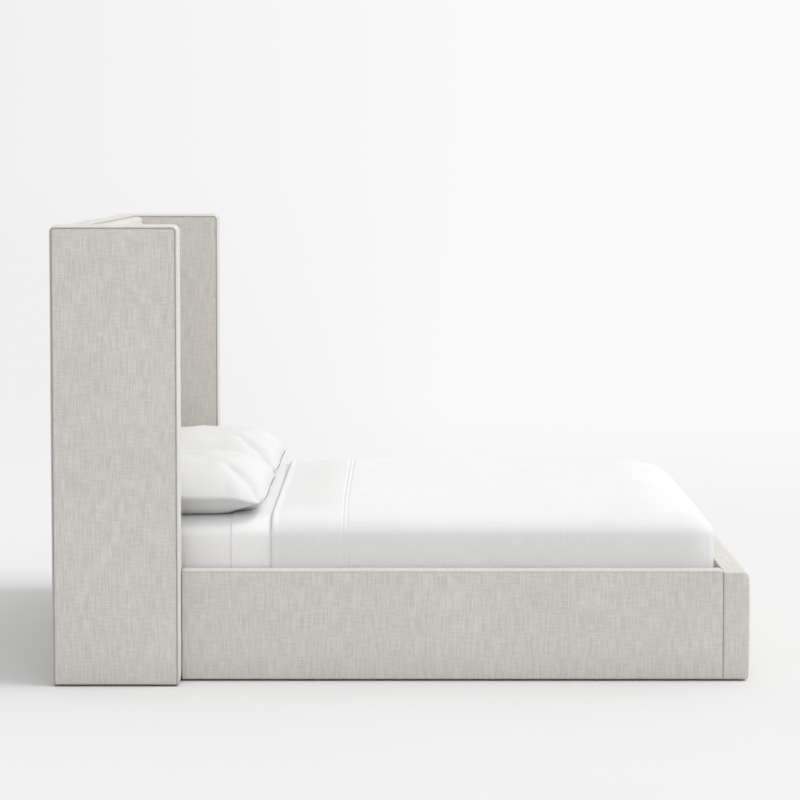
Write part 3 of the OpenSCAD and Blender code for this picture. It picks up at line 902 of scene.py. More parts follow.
@dataclass(frozen=True)
class Cotton(Finish):
    """Close-woven white bed cotton."""

    name: str
    colour: Colour
    drape: float = 0.5
    creases: float = 0.25
    bump: float = 0.0035
    fade: float = 0.03

    def dress(self, tree: Tree, shader: bpy.types.Node) -> None:
        """Fine threads with soft drape lines and pressed creases, with painted shade in the creases and
        along the seams.

        Args:
            tree: The material's tree.
            shader: Its shader, which receives the result.
        """
        body = self.object_place(tree)
        cloth = PERCALE.put(tree, self.cloth_place(tree), Drape=self.drape, Creases=self.creases)
        worn = HANDLING.put(tree, body, Dust_Height=0.02)
        base = tree.blend(worn["Nap"], rgba(self.colour, 1 - self.fade), rgba(self.colour))
        # painted shade in the pressed creases
        base = tree.blend(tree.maths("MULTIPLY", cloth["Crease"], 0.10), base, rgba(self.colour, 0.86))
        # painted shade along the seams
        sewn = tree.maths("MULTIPLY", self.seam_shade_mask(tree), 0.45)
        self.join(tree, shader, Base_Color=tree.blend(sewn, base, rgba(self.colour, 0.62)),
                  Normal=tree.bump(0.55, self.bump, cloth["Height"]),
                  Roughness=tree.spread(cloth["Tone"], 0, 1, 0.78, 0.9),
                  Specular_IOR_Level=0.3, Sheen_Weight=0.1, Sheen_Roughness=0.4)


@dataclass(frozen=True)
class Ticking(Finish):
    """Mattress cloth with a knitted quilt of small waves."""

    name: str
    colour: Colour

    def dress(self, tree: Tree, shader: bpy.types.Node) -> None:
        """Diagonal knit, faint wavy stripe and uneven nap.

        Args:
            tree: The material's tree.
            shader: Its shader, which receives the result.
        """
        place = self.cloth_place(tree)
        worn = HANDLING.put(tree, self.object_place(tree), Dust_Height=0.02)
        waves = tree.add("TexWave", {"Vector": place, "Scale": 14.0, "Distortion": 3.0, "Detail": 1.0},
                         wave_type="BANDS", bands_direction="DIAGONAL")
        knit = tree.stretched(place, (700, 500, 1), 1)
        tone = tree.weighed((waves.outputs["Fac"], 0.6), (knit, 0.4))
        base = tree.blend(tone, rgba(self.colour, 0.9), rgba(self.colour, 1.03))
        base = tree.blend(tree.maths("MULTIPLY", worn["Nap"], 0.1), base, rgba(self.colour, 0.9))
        self.join(tree, shader, Base_Color=base, Normal=tree.bump(0.6, 1.2 * MM, tone),
                  Specular_IOR_Level=0.3, Roughness=tree.spread(tone, 0, 1, 0.92, 0.72),
                  Sheen_Weight=0.15)


@dataclass(frozen=True)
class Timber(Finish):
    """Planed softwood or the face of a sheet material."""

    name: str
    light: Colour
    dark: Colour
    bands: float = 40.0
    upright: bool = False
    turned: bool = False

    def dress(self, tree: Tree, shader: bpy.types.Node) -> None:
        """Growth bands and pores along the length, slightly dusty.

        Args:
            tree: The material's tree.
            shader: Its shader, which receives the result.
        """
        body = self.object_place(tree)
        turn = (0, math.pi / 2 if self.upright else 0, math.pi / 2 if self.turned else 0)
        placed = tree.add("Mapping", {"Vector": body, "Rotation": turn}).outputs[0]
        grain = GRAIN.put(tree, placed, Bands=self.bands)
        worn = HANDLING.put(tree, body)
        base = tree.blend(grain["Tone"], rgba(self.dark), rgba(self.light))
        base = tree.blend(tree.maths("MULTIPLY", worn["Nap"], 0.15), base, rgba(self.dark, 0.8))
        self.join(tree, shader, Base_Color=base, Normal=tree.bump(0.35, 0.5 * MM, grain["Height"]),
                  Roughness=tree.spread(grain["Tone"], 0, 1, 0.75, 0.55), Specular_IOR_Level=0.35)


@dataclass(frozen=True)
class Foam(Finish):
    """Cut polyurethane foam with open cells."""

    name: str
    colour: Colour

    def dress(self, tree: Tree, shader: bpy.types.Node) -> None:
        """Cells with sunken hollows, painted shade in them, and a little yellowing.

        Args:
            tree: The material's tree.
            shader: Its shader, which receives the result.
        """
        body = self.object_place(tree)
        cells = tree.add("TexVoronoi", {"Vector": body, "Scale": 420.0})
        worn = HANDLING.put(tree, body)
        # darker in the hollows between cells: painted shade
        depth = tree.spread(cells.outputs["Distance"], 0.0, 0.7)
        base = tree.blend(depth, rgba(self.colour, 1.03), rgba(self.colour, 0.8))
        base = tree.blend(tree.maths("MULTIPLY", worn["Nap"], 0.3), base,
                          rgba((self.colour[0], self.colour[1] * 0.93, self.colour[2] * 0.8)))
        self.join(tree, shader, Base_Color=base, Normal=tree.bump(0.5, MM, depth, invert=True),
                  Specular_IOR_Level=0.2, Roughness=tree.spread(depth, 0, 1, 0.9, 1.0))


@dataclass(frozen=True)
class Hard(Finish):
    """Zinc-plated steel or moulded plastic."""

    name: str
    colour: Colour
    metal: float
    rough: float
    bump: float = 0.0001

    def dress(self, tree: Tree, shader: bpy.types.Node) -> None:
        """Haze, fine scuffs and their effect on the gloss.

        Args:
            tree: The material's tree.
            shader: Its shader, which receives the result.
        """
        body = self.object_place(tree)
        marks = SCUFFS.put(tree, body)
        worn = HANDLING.put(tree, body, Dust_Height=0.05)
        base = tree.blend(marks["Haze"], rgba(self.colour, 0.85), rgba(self.colour, 1.1))
        base = tree.blend(tree.maths("MULTIPLY", marks["Scuff"], 0.25), base, rgba(self.colour, 1.5))
        base = tree.blend(tree.maths("MULTIPLY", worn["Dust"], 0.3), base, rgba(METAL_DUST))
        hazy = tree.spread(marks["Haze"], 0.3, 0.7, self.rough - 0.07, self.rough + 0.1)
        rough = tree.maths("ADD", hazy, tree.maths("MULTIPLY", marks["Scuff"], 0.15))
        self.join(tree, shader, Base_Color=base, Roughness=rough, Metallic=self.metal,
                  Normal=tree.bump(0.3, self.bump, marks["Height"]))


@dataclass(frozen=True)
class Webbing(Finish):
    """Flat woven strap."""

    name: str
    colour: Colour

    def dress(self, tree: Tree, shader: bpy.types.Node) -> None:
        """Ribs across the strap with a woven ground.

        Args:
            tree: The material's tree.
            shader: Its shader, which receives the result.
        """
        body = self.object_place(tree)
        cloth = SLUB.put(tree, body, Thread_Pitch=0.0012, Weave=0.8, Slub=0.1)
        ribs = tree.add("TexWave", {"Vector": body, "Scale": 160.0}, wave_type="BANDS",
                        bands_direction="X")
        base = tree.blend(ribs.outputs["Fac"], rgba(self.colour, 0.7), rgba(self.colour, 1.15))
        base = tree.blend(tree.maths("MULTIPLY", cloth["Tone"], 0.3), base, rgba(self.colour, 0.8))
        self.join(tree, shader, Base_Color=base, Normal=tree.bump(0.6, 0.6 * MM, ribs.outputs["Fac"]),
                  Specular_IOR_Level=0.3, Roughness=tree.spread(cloth["Tone"], 0, 1, 0.9, 0.7))


def room_level(tree: Tree, way: bpy.types.NodeSocket) -> bpy.types.NodeSocket:
    """Brightness of the far room, a little greyer on the headboard's side.

    Args:
        tree: Tree to draw in.
        way: Share of the direction that runs along the bed.

    Returns:
        The level, which the floor and the backdrop share.
    """
    return tree.spread(way, -0.19, 0.05, 0.865, 0.958)


@dataclass(frozen=True)
class StudioFloor(Finish):
    """Pale seamless floor that runs out into the white of the room."""

    name: str
    colour: Colour
    near: float

    def dress(self, tree: Tree, shader: bpy.types.Node) -> None:
        """Faint unevenness near the bed, plain light far from it.

        Args:
            tree: The material's tree.
            shader: Its shader, which receives the result.
        """
        body = self.object_place(tree)
        grime = tree.stretched(body, (1.3, 1.3, 1), 3)
        base = tree.blend(grime, rgba(self.colour, 0.985), rgba(self.colour, 1.01))
        apart = tree.add("VectorMath", {0: body}, operation="LENGTH").outputs["Value"]
        away = tree.spread(apart, self.near, self.near * 3.2)
        away = tree.maths("MULTIPLY", away, tree.maths("SUBTRACT", 2.0, away))
        base = tree.blend(away, base, (0, 0, 0, 1))
        way = tree.maths("DIVIDE", tree.add("SeparateXYZ", {0: body}).outputs["X"], apart)
        level = room_level(tree, way)
        glow = tree.blend(away, (0, 0, 0, 1), level)
        self.join(tree, shader, Base_Color=base, Roughness=1.0, Specular_IOR_Level=0.0,
                  Emission_Color=glow, Emission_Strength=1.0)


LINEN = Linen("linen_weave", (0.655, 0.630, 0.592))
LINEN_BACK = Linen("linen_back", (0.64, 0.615, 0.578), contrast=0.07)
THREAD = Linen("sewing_thread", (0.78, 0.76, 0.73), weave=0.2, bump=0.0001, mapped=False)
SHEET = Cotton("sheet_cotton", (0.79, 0.79, 0.79), drape=0.45, creases=0.22)
DUVET = Cotton("duvet_cotton", (0.69, 0.69, 0.69), drape=0.8, creases=0.18, bump=0.005)
PILLOW = Cotton("pillow_cotton", (0.635, 0.635, 0.635), drape=0.55, creases=0.15)
TICKING = Ticking("mattress_ticking", (0.78, 0.77, 0.75))
PINE = ((0.66, 0.47, 0.28), (0.45, 0.29, 0.15))
SOFTWOOD = Timber("frame_timber", *PINE)
SOFTWOOD_UPRIGHT = Timber("frame_timber_upright", *PINE, upright=True)
SOFTWOOD_ACROSS = Timber("frame_timber_across", *PINE, turned=True)
PLY = Timber("plywood_face", (0.70, 0.55, 0.37), (0.55, 0.40, 0.24), bands=70, upright=True)
SLAT = Timber("slat_birch", (0.74, 0.58, 0.39), (0.58, 0.42, 0.26), bands=26)
FOAM = Foam("seat_foam", (0.82, 0.74, 0.48))
ZINC = Hard("zinc_steel", (0.62, 0.64, 0.66), 1.0, 0.36)
PLASTIC = Hard("black_plastic", (0.025, 0.025, 0.027), 0.0, 0.48)
STRAP = Webbing("strap_webbing", (0.82, 0.80, 0.76))
FLOOR = StudioFloor("studio_floor", (0.665, 0.665, 0.665), near=3.0)


# ---------- upholstery ----------

COVER_T = 2 * MM
EDGE_GAP = 0.3 * MM


def frame_cover(name: str, bm: bmesh.types.BMesh, node: str) -> bpy.types.Object:
    """Puts a linen cover on the bed's frame in place of the node that it dresses."""
    return finish_piece(new_object(name, bm, LINEN.made()), "bed_frame", "linen_weave", node)


def strip_lines(width: float, r: float, count: int) -> list[float]:
    """Distances across a strip that draw its rolled edges and its crown."""
    near = roll_lines(r, 4 * MM)
    step = (width - 2 * near[-1]) / count
    return near[:-1] + [near[-1] + step * i for i in range(count + 1)] + [
        width - d for d in reversed(near[:-1])]


@dataclass
class TopRolled(Panel):
    """A padded rectangle that rolls far over at its top and butts against its neighbours elsewhere."""

    butt: float = 2.5 * MM

    def height(self, a: float, b: float) -> float:
        """Height of the face above its seam plane."""
        sides = min(a - self.a0, self.a1 - a, b - self.b0)
        crown, puckers = self.filled(a, b, min(sides, self.b1 - b))
        return (self.rise + crown - roll_off(self.b1 - b, self.roll) - roll_off(sides, self.butt)
                + puckers)


@dataclass
class Headboard:
    """Padded front, top strip and back cloth between the two wings."""

    pad_r: float = 17 * MM
    pad_crown: float = 4.6 * MM
    strip_crown: float = 3.5 * MM
    strip_r: float = 3.5 * MM
    strip_rise: float = 1.6 * MM
    seam_gap: float = 0.4 * MM
    pitch: float = 14 * MM

    def build(self) -> None:
        """Makes the three covers."""
        low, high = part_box("headboard_front_cover")
        back_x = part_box("headboard_back_cover")[0].x
        pad = TopRolled(low.y, high.y, low.z, high.z, roll=self.pad_r, rise=0.4 * MM,
                        crown=self.pad_crown, pitch=self.pitch, pucker=0.5 * MM,
                        back=high.x - low.x - self.pad_r, seam_shade_share=0.5, seed=2.3)
        front = new_object("headboard_pad", pad.placed(Vector((high.x, 0, 0)), Y_AXIS, Z_AXIS, X_AXIS),
                           LINEN.made())
        finish_piece(front, "bed_frame", "linen_weave", "headboard_front_cover")
        frame_cover("headboard_top_cloth", self.top_strip(back_x, low, high), "headboard_top_strip")
        floor_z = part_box("headboard_back_cover")[0].z
        back = Panel(low.y + MM, high.y - MM, floor_z, high.z - self.seam_gap, roll=3 * MM,
                     rise=0.8 * MM, crown=2.5 * MM, pitch=18 * MM, seed=7.7, pucker=0.6 * MM)
        cloth = back.placed(Vector((back_x, 0, 0)), Y_AXIS, Z_AXIS, -X_AXIS)
        finish_piece(new_object("headboard_back_cloth", cloth, LINEN_BACK.made()),
                     "bed_frame", "linen_back", "headboard_back_cover")

    def top_strip(self, back_x: float, low: Vector, high: Vector) -> bmesh.types.BMesh:
        """The strip between the back seam and the padded front's seam.

        Args:
            back_x: Place of the back seam.
            low: Lowest corner of the front cover.
            high: Highest corner of the front cover.

        Returns:
            The closed strip.
        """
        start = back_x + self.seam_gap
        width = low.x - back_x - 2 * self.seam_gap
        across = strip_lines(width, self.strip_r, 10)
        count = round((high.y - low.y) / self.pitch)
        stations = [Station(Vector((start, low.y + (high.y - low.y) * i / count, high.z)), Z_AXIS)
                    for i in range(count + 1)]

        def section(_: int, run: float) -> list[tuple[float, float]]:
            """Crown across the strip with puckers by its seams."""
            return [(v, self.strip_rise + self.strip_crown * math.sin(math.pi * v / width)
                     - roll_off(min(v, width - v), self.strip_r)
                     + 0.3 * MM * ripple(run, v, 1, 0.025)) for v in across]

        bm = sweep(stations, X_AXIS, section)
        shell(bm, COVER_T)
        return bm


@dataclass
class Wing:
    """One wing: outer and inner panels, and the strip that runs round between them."""

    side: Side
    corner_r: float = 12 * MM
    front_crown: float = 2.2 * MM
    top_crown: float = 6.6 * MM
    back_crown: float = 7.5 * MM
    border_r: float = 4 * MM
    turn_steps: int = 8
    pitch: float = 11 * MM

    def build(self) -> None:
        """Makes the wing's three covers."""
        word = self.side.word
        low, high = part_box(f"wing_outer_cover_{word}")
        inner_low, inner_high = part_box(f"wing_inner_cover_{word}")
        s = self.side.value
        out_y = high.y if s > 0 else low.y
        in_y = inner_low.y if s > 0 else inner_high.y
        corners = (0, 0, self.corner_r, self.corner_r)
        for name, y, way, node, seed in (("outer", out_y, s, f"wing_outer_cover_{word}", 1.7),
                                         ("inner", in_y, -s, f"wing_inner_cover_{word}", 4.1)):
            panel = Panel(low.x + EDGE_GAP, high.x - EDGE_GAP, low.z, high.z - EDGE_GAP,
                          corners=corners, pitch=self.pitch, seed=seed * (2 + s), crown=2.0 * MM,
                          pucker=0.32 * MM)
            cloth = panel.placed(Vector((0, y, 0)), X_AXIS, Z_AXIS, Y_AXIS * way)
            frame_cover(f"wing_{name}_cloth_{word}", cloth, node)
        border = self.border(low, high, min(out_y, in_y), max(out_y, in_y))
        frame_cover(f"wing_border_cloth_{word}", border, f"wing_border_{word}")

    def path(self, low: Vector, high: Vector) -> list[Station]:
        """Up the front seam, over the top and down the back.

        Args:
            low: Lowest corner of the outer panel.
            high: Highest corner of the outer panel.

        Returns:
            Its stations.
        """
        r = self.corner_r
        top, left, right = high.z - r, low.x + r, high.x - r
        rise = round((top - low.z) / self.pitch)
        run = round((right - left) / self.pitch)
        stations = [Station(Vector((high.x, 0, low.z + (top - low.z) * i / rise)), X_AXIS)
                    for i in range(rise)]
        for centre_x, start in ((right, 0), (left, 90)):
            for i in range(self.turn_steps + 1):
                angle = math.radians(start + 90 * i / self.turn_steps)
                out = Vector((math.cos(angle), 0, math.sin(angle)))
                stations.append(Station(Vector((centre_x, 0, top)) + out * r, out))
            if start == 0:
                stations += [Station(Vector((right + (left - right) * i / run, 0, high.z)), Z_AXIS)
                             for i in range(1, run)]
        stations += [Station(Vector((low.x, 0, top + (low.z - top) * i / rise)), -X_AXIS)
                     for i in range(1, rise + 1)]
        return stations

    def border(self, low: Vector, high: Vector, y0: float, y1: float) -> bmesh.types.BMesh:
        """The strip itself, fuller over the top and down the back than at the front.

        Args:
            low: Lowest corner of the outer panel.
            high: Highest corner of the outer panel.
            y0: One seam's place.
            y1: The other seam's place.

        Returns:
            The closed strip.
        """
        stations = self.path(low, high)
        total = sum((b.place - a.place).length for a, b in zip(stations, stations[1:]))
        start = y0 + EDGE_GAP
        width = y1 - y0 - 2 * EDGE_GAP
        across = strip_lines(width, self.border_r, 12)
        for station in stations:
            station.place.y = start

        def section(i: int, run: float) -> list[tuple[float, float]]:
            """Crown by which way the strip faces there, tucked in at the floor.

            Args:
                i: The station's number.
                run: Distance along the strip.

            Returns:
                Points as (across, outwards).
            """
            out = stations[i].out
            crown = (self.front_crown * max(out.x, 0) ** 2 + self.top_crown * out.z ** 2
                     + self.back_crown * max(-out.x, 0) ** 2) if out.z >= 0 else self.back_crown
            tuck = smooth(min(run, total - run) / 0.03)
            points = []
            for v in across:
                e = min(v, width - v)
                crease = math.exp(-e / 0.02) * ripple(run, v, self.side.value, 0.024)
                sway = ripple(run, v, self.side.value, 0.3)
                shape = math.sin(math.pi * v / width) ** 0.8
                full = crown * shape * (0.35 + 0.65 * tuck)
                puckers = (0.3 * crease + 0.5 * sway) * MM * smooth(e / self.border_r)
                points.append((v, 1.8 * MM - roll_off(e, self.border_r) + full + puckers
                               - 1.5 * MM * (1 - tuck)))
            return points

        bm = sweep(stations, Y_AXIS, section)
        shell(bm, COVER_T)
        return bm


@dataclass
class SideRail:
    """One side rail: outer panel, and the strip over its top that turns down inside."""

    side: Side
    crown: float = 3.2 * MM
    seam_r: float = 4 * MM
    inner_r: float = 10 * MM
    end_tuck: float = 3.4 * MM
    tuck_reach: float = 11 * MM
    pitch: float = 12 * MM

    def build(self) -> None:
        """Makes the rail's two covers."""
        word, s = self.side.word, self.side.value
        low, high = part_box(f"rail_outer_cover_{word}")
        out_y = high.y if s > 0 else low.y
        panel = Panel(low.x, high.x - EDGE_GAP, low.z, high.z - EDGE_GAP, pitch=self.pitch,
                      crown=2.2 * MM, seed=9.1 + s, pucker=0.35 * MM)
        cloth = panel.placed(Vector((0, out_y, 0)), X_AXIS, Z_AXIS, Y_AXIS * s)
        frame_cover(f"rail_outer_cloth_{word}", cloth, f"rail_outer_cover_{word}")
        top_low, top_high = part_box(f"rail_top_cover_{word}")
        width = top_high.y - top_low.y + high.y - low.y - EDGE_GAP
        length = high.x - low.x
        count = round(length / self.pitch)
        along = [low.x + length * i / count for i in range(count)]
        stations = [Station(Vector((x, out_y - s * EDGE_GAP, high.z)), Z_AXIS)
                    for x in along + [high.x - 8 * MM, high.x - 4 * MM, high.x]]
        section = self.section(width, high.z - top_low.z, length)
        bm = sweep(stations, -Y_AXIS * s, section, one_seam=True)
        shell(bm, COVER_T)
        frame_cover(f"rail_top_cloth_{word}", bm, f"rail_top_cover_{word}")

    def section(self, width: float, depth: float,
                total: float) -> Callable[[int, float], list[tuple[float, float]]]:
        """The strip's section.

        Args:
            width: From the outer seam to the inner face.
            depth: How far down inside it goes.
            total: Its length.

        Returns:
            The section for sweep.
        """
        turn = width - self.inner_r
        flat = roll_lines(self.seam_r, 4 * MM, 10 * MM)
        flat += [flat[-1] + (turn - flat[-1]) * i / 7 for i in range(1, 8)]

        def points(_: int, run: float) -> list[tuple[float, float]]:
            """Crowned top, round inner edge and flat lining.

            Args:
                run: Distance along the strip.

            Returns:
                Points as (across, outwards).
            """
            tuck = self.end_tuck * (1 - smooth((total - run) / self.tuck_reach))

            def top(v: float) -> float:
                """Height of the padded top at v across."""
                crease = math.exp(-min(v, turn) / 0.02) * ripple(run, v, 2, 0.024)
                sway = ripple(run, v, 2, 0.3)
                return (1.8 * MM - tuck + self.crown * math.sin(math.pi * v / width)
                        - roll_off(v, self.seam_r)
                        + MM * (0.3 * crease + 0.5 * sway) * smooth(v / self.seam_r))

            line = [(v, top(v)) for v in flat]
            end = top(turn)
            line += [(turn + self.inner_r * math.sin(a), end - self.inner_r * (1 - math.cos(a)))
                     for a in (math.radians(15 * k) for k in range(1, 7))]
            below = end - self.inner_r
            return line + [(width, below + (-depth - below) * i / 6) for i in range(1, 7)]

        return points


@dataclass
class Footboard:
    """One pad with soft round edges and a flat panel at each end."""

    roll: float = 6 * MM
    crown: float = 3.4 * MM
    belly_reach: float = 12 * MM
    corners: tuple[float, float, float, float] = (3 * MM, 10 * MM, 21 * MM, 3 * MM)
    pitch: float = 13 * MM

    def build(self) -> None:
        """Makes the pad and puts it on the frame."""
        low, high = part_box("footboard_cover")
        out_x = high.x - self.crown
        bm = self.boxed(low, high, out_x)
        self.fill_out(bm, low, high, out_x)
        pad = new_object("footboard_cloth", bm, LINEN.made())
        finish_piece(pad, "bed_frame", "linen_weave", "footboard_cover")

    def boxed(self, low: Vector, high: Vector, out_x: float) -> bmesh.types.BMesh:
        """Joins two end panels by flat long faces.

        Args:
            low: Lowest corner of the pad.
            high: Highest corner of the pad.
            out_x: Where its outer face lies before it is filled out.

        Returns:
            The closed form.
        """
        ends = []
        for y, way in ((low.y, -1), (high.y, 1)):
            panel = Panel(low.x + EDGE_GAP, out_x, low.z, high.z, roll=self.roll, rise=1.8 * MM,
                          crown=1.0 * MM, corners=self.corners, pitch=self.pitch, seam_shade_share=0.0,
                          seed=12.5)
            ends.append(panel.placed(Vector((0, y, 0)), X_AXIS, Z_AXIS, Y_AXIS * way, closed=False))
        bm, other = ends
        spare = bpy.data.meshes.new("footboard_end")
        other.to_mesh(spare)
        other.free()
        bm.from_mesh(spare)
        bpy.data.meshes.remove(spare)
        bmesh.ops.bridge_loops(bm, edges=open_edges(bm))
        span = high.y - low.y
        long_edges = [e for e in bm.edges if e.calc_length() > span * 0.8]
        bmesh.ops.subdivide_edges(bm, edges=long_edges, cuts=round(span / self.pitch),
                                  use_grid_fill=True)
        bmesh.ops.remove_doubles(bm, verts=bm.verts, dist=1e-6)
        bmesh.ops.recalc_face_normals(bm, faces=bm.faces)
        bm.normal_update()
        bm.loops.layers.uv.remove(bm.loops.layers.uv.verify())
        return bm

    def fill_out(self, bm: bmesh.types.BMesh, low: Vector, high: Vector, out_x: float) -> None:
        """Crowns the outer face and the top, as foam under cloth does.

        Args:
            bm: The closed form.
            low: Lowest corner of the pad.
            high: Highest corner of the pad.
            out_x: Where the outer face lies.
        """
        for v in bm.verts:
            e = min(v.co.y - low.y, high.y - v.co.y)
            z = (v.co.z - low.z) / (high.z - low.z)
            n = v.normal.copy()
            outer = smooth((v.co.x - out_x + self.belly_reach) / self.belly_reach)
            belly = max(0.0, 1 - (2 * z - 1) ** 2) ** 0.7 * outer
            if n.x > -0.4 and n.z > -0.4:
                sway = 1.6 * MM * max(n.z, 0) + 0.5 * MM * ripple(v.co.y, z, 0, 0.3, 3)
                v.co += n * sway * smooth((e - self.roll) / 0.03)
            v.co.x += self.crown * belly


# ---------- bedding ----------


@dataclass(frozen=True)
class Lie:
    """How cloth lies over the mattress: its flat top, broad round edges and upright sides."""

    low: Vector
    high: Vector
    side_r: float = 95 * MM
    end_r: float = 118 * MM
    drop_r: float = 60 * MM
    power: float = 3.0
    head_lines: tuple[float, ...] = (0, 0.8 * MM, 2.5 * MM, 5 * MM, 9 * MM, 15 * MM, 22 * MM,
                                     30 * MM, 40 * MM)

    def edge_distances(self, r: float, steps: int = 9) -> list[float]:
        """Distances in from an edge that draw its round evenly."""
        return [r * (1 - math.cos(math.radians(90 * i / steps))) for i in range(steps + 1)]

    def top(self, x0: float, grow: float, head_round: bool, pitch: float,
            extra: Sequence[float] = ()) -> bmesh.types.BMesh:
        """The open top, grown outwards from the mattress.

        Args:
            x0: Where it starts at the head.
            grow: Distance outside the mattress.
            head_round: Round the head end over too.
            pitch: Spacing of the middle grid lines.
            extra: More lines across the bed.

        Returns:
            The mesh, with its upright rim lines ready to be carried down.
        """
        x1, half = self.high.x + grow, self.high.y + grow
        foot = self.edge_distances(self.end_r)
        head = foot if head_round else self.head_lines
        lines_x = [x1 - d for d in foot] + [x0 + d for d in head]
        start = x0 + head[-1]
        count = round((x1 - foot[-1] - start) / pitch)
        middle = [start + (x1 - foot[-1] - start) * i / count for i in range(count + 1)]
        keep = [v for v in middle if all(abs(v - e) > 4 * MM for e in extra)]
        lines_x = sorted({round(v, 6) for v in (*lines_x, *keep, *extra)})
        side = self.edge_distances(self.side_r)
        rows = round(2 * (half - self.side_r) / pitch)
        lines_y = {round(half - d, 6) for d in side} | {round(d - half, 6) for d in side}
        lines_y |= {round((half - self.side_r) * (2 * i / rows - 1), 6) for i in range(rows + 1)}
        bm, _ = face_grid(lines_x, sorted(lines_y))
        top_z = self.high.z + grow
        for v in bm.verts:
            x, y = v.co.x, v.co.y
            ends = [max(0.0, 1 - (x1 - x) / self.end_r)]
            if head_round:
                ends.append(max(0.0, 1 - (x - x0) / self.end_r))
            a, b = max(ends), max(0.0, 1 - (half - abs(y)) / self.side_r)
            q = max(a, b)
            if q > 0:
                k = q / (a ** self.power + b ** self.power) ** (1 / self.power)
                if a > 0:
                    inward = self.end_r * (1 - a * k)
                    x = x1 - inward if ends[0] >= a else x0 + inward
                if b > 0:
                    y = math.copysign(half - self.side_r * (1 - b * k), y)
            v.co = (x, y, top_z - self.drop_r * (1 - math.sqrt(max(0.0, 1 - q * q))))
        return bm

    @staticmethod
    def skirt(bm: bmesh.types.BMesh, low_z: float, pitch: float, open_x: float | None) -> None:
        """Carries the rim down, except along an open head edge.

        Args:
            bm: The open top.
            low_z: Where the sides end.
            pitch: Height of a row of faces.
            open_x: Place of the head edge that stays open, if any.
        """
        rim = [e for e in open_edges(bm)
               if open_x is None or any(abs(v.co.x - open_x) >= SAME_PLACE for v in e.verts)]
        carry_down(bm, rim, low_z, pitch, 0.5 * pitch)


def tube_round(points: Sequence[Vector], radius: float) -> bmesh.types.BMesh:
    """A closed round cord of mesh through points.

    Args:
        points: The closed line.
        radius: The cord's radius.

    Returns:
        The mesh.
    """
    curve = bpy.data.curves.new("cord", "CURVE")
    curve.dimensions, curve.bevel_depth, curve.bevel_resolution = "3D", radius, 2
    spline = curve.splines.new("POLY")
    spline.points.add(len(points) - 1)
    for point, place in zip(spline.points, points):
        point.co = (*place, 1)
    spline.use_cyclic_u = True
    obj = bpy.data.objects.new("cord", curve)
    bpy.context.scene.collection.objects.link(obj)
    mesh = bpy.data.meshes.new_from_object(obj.evaluated_get(bpy.context.evaluated_depsgraph_get()))
    bpy.data.objects.remove(obj)
    bpy.data.curves.remove(curve)
    bm = bmesh.new()
    bm.from_mesh(mesh)
    bpy.data.meshes.remove(mesh)
    for layer in list(bm.loops.layers.uv.values()):
        bm.loops.layers.uv.remove(layer)
    return bm


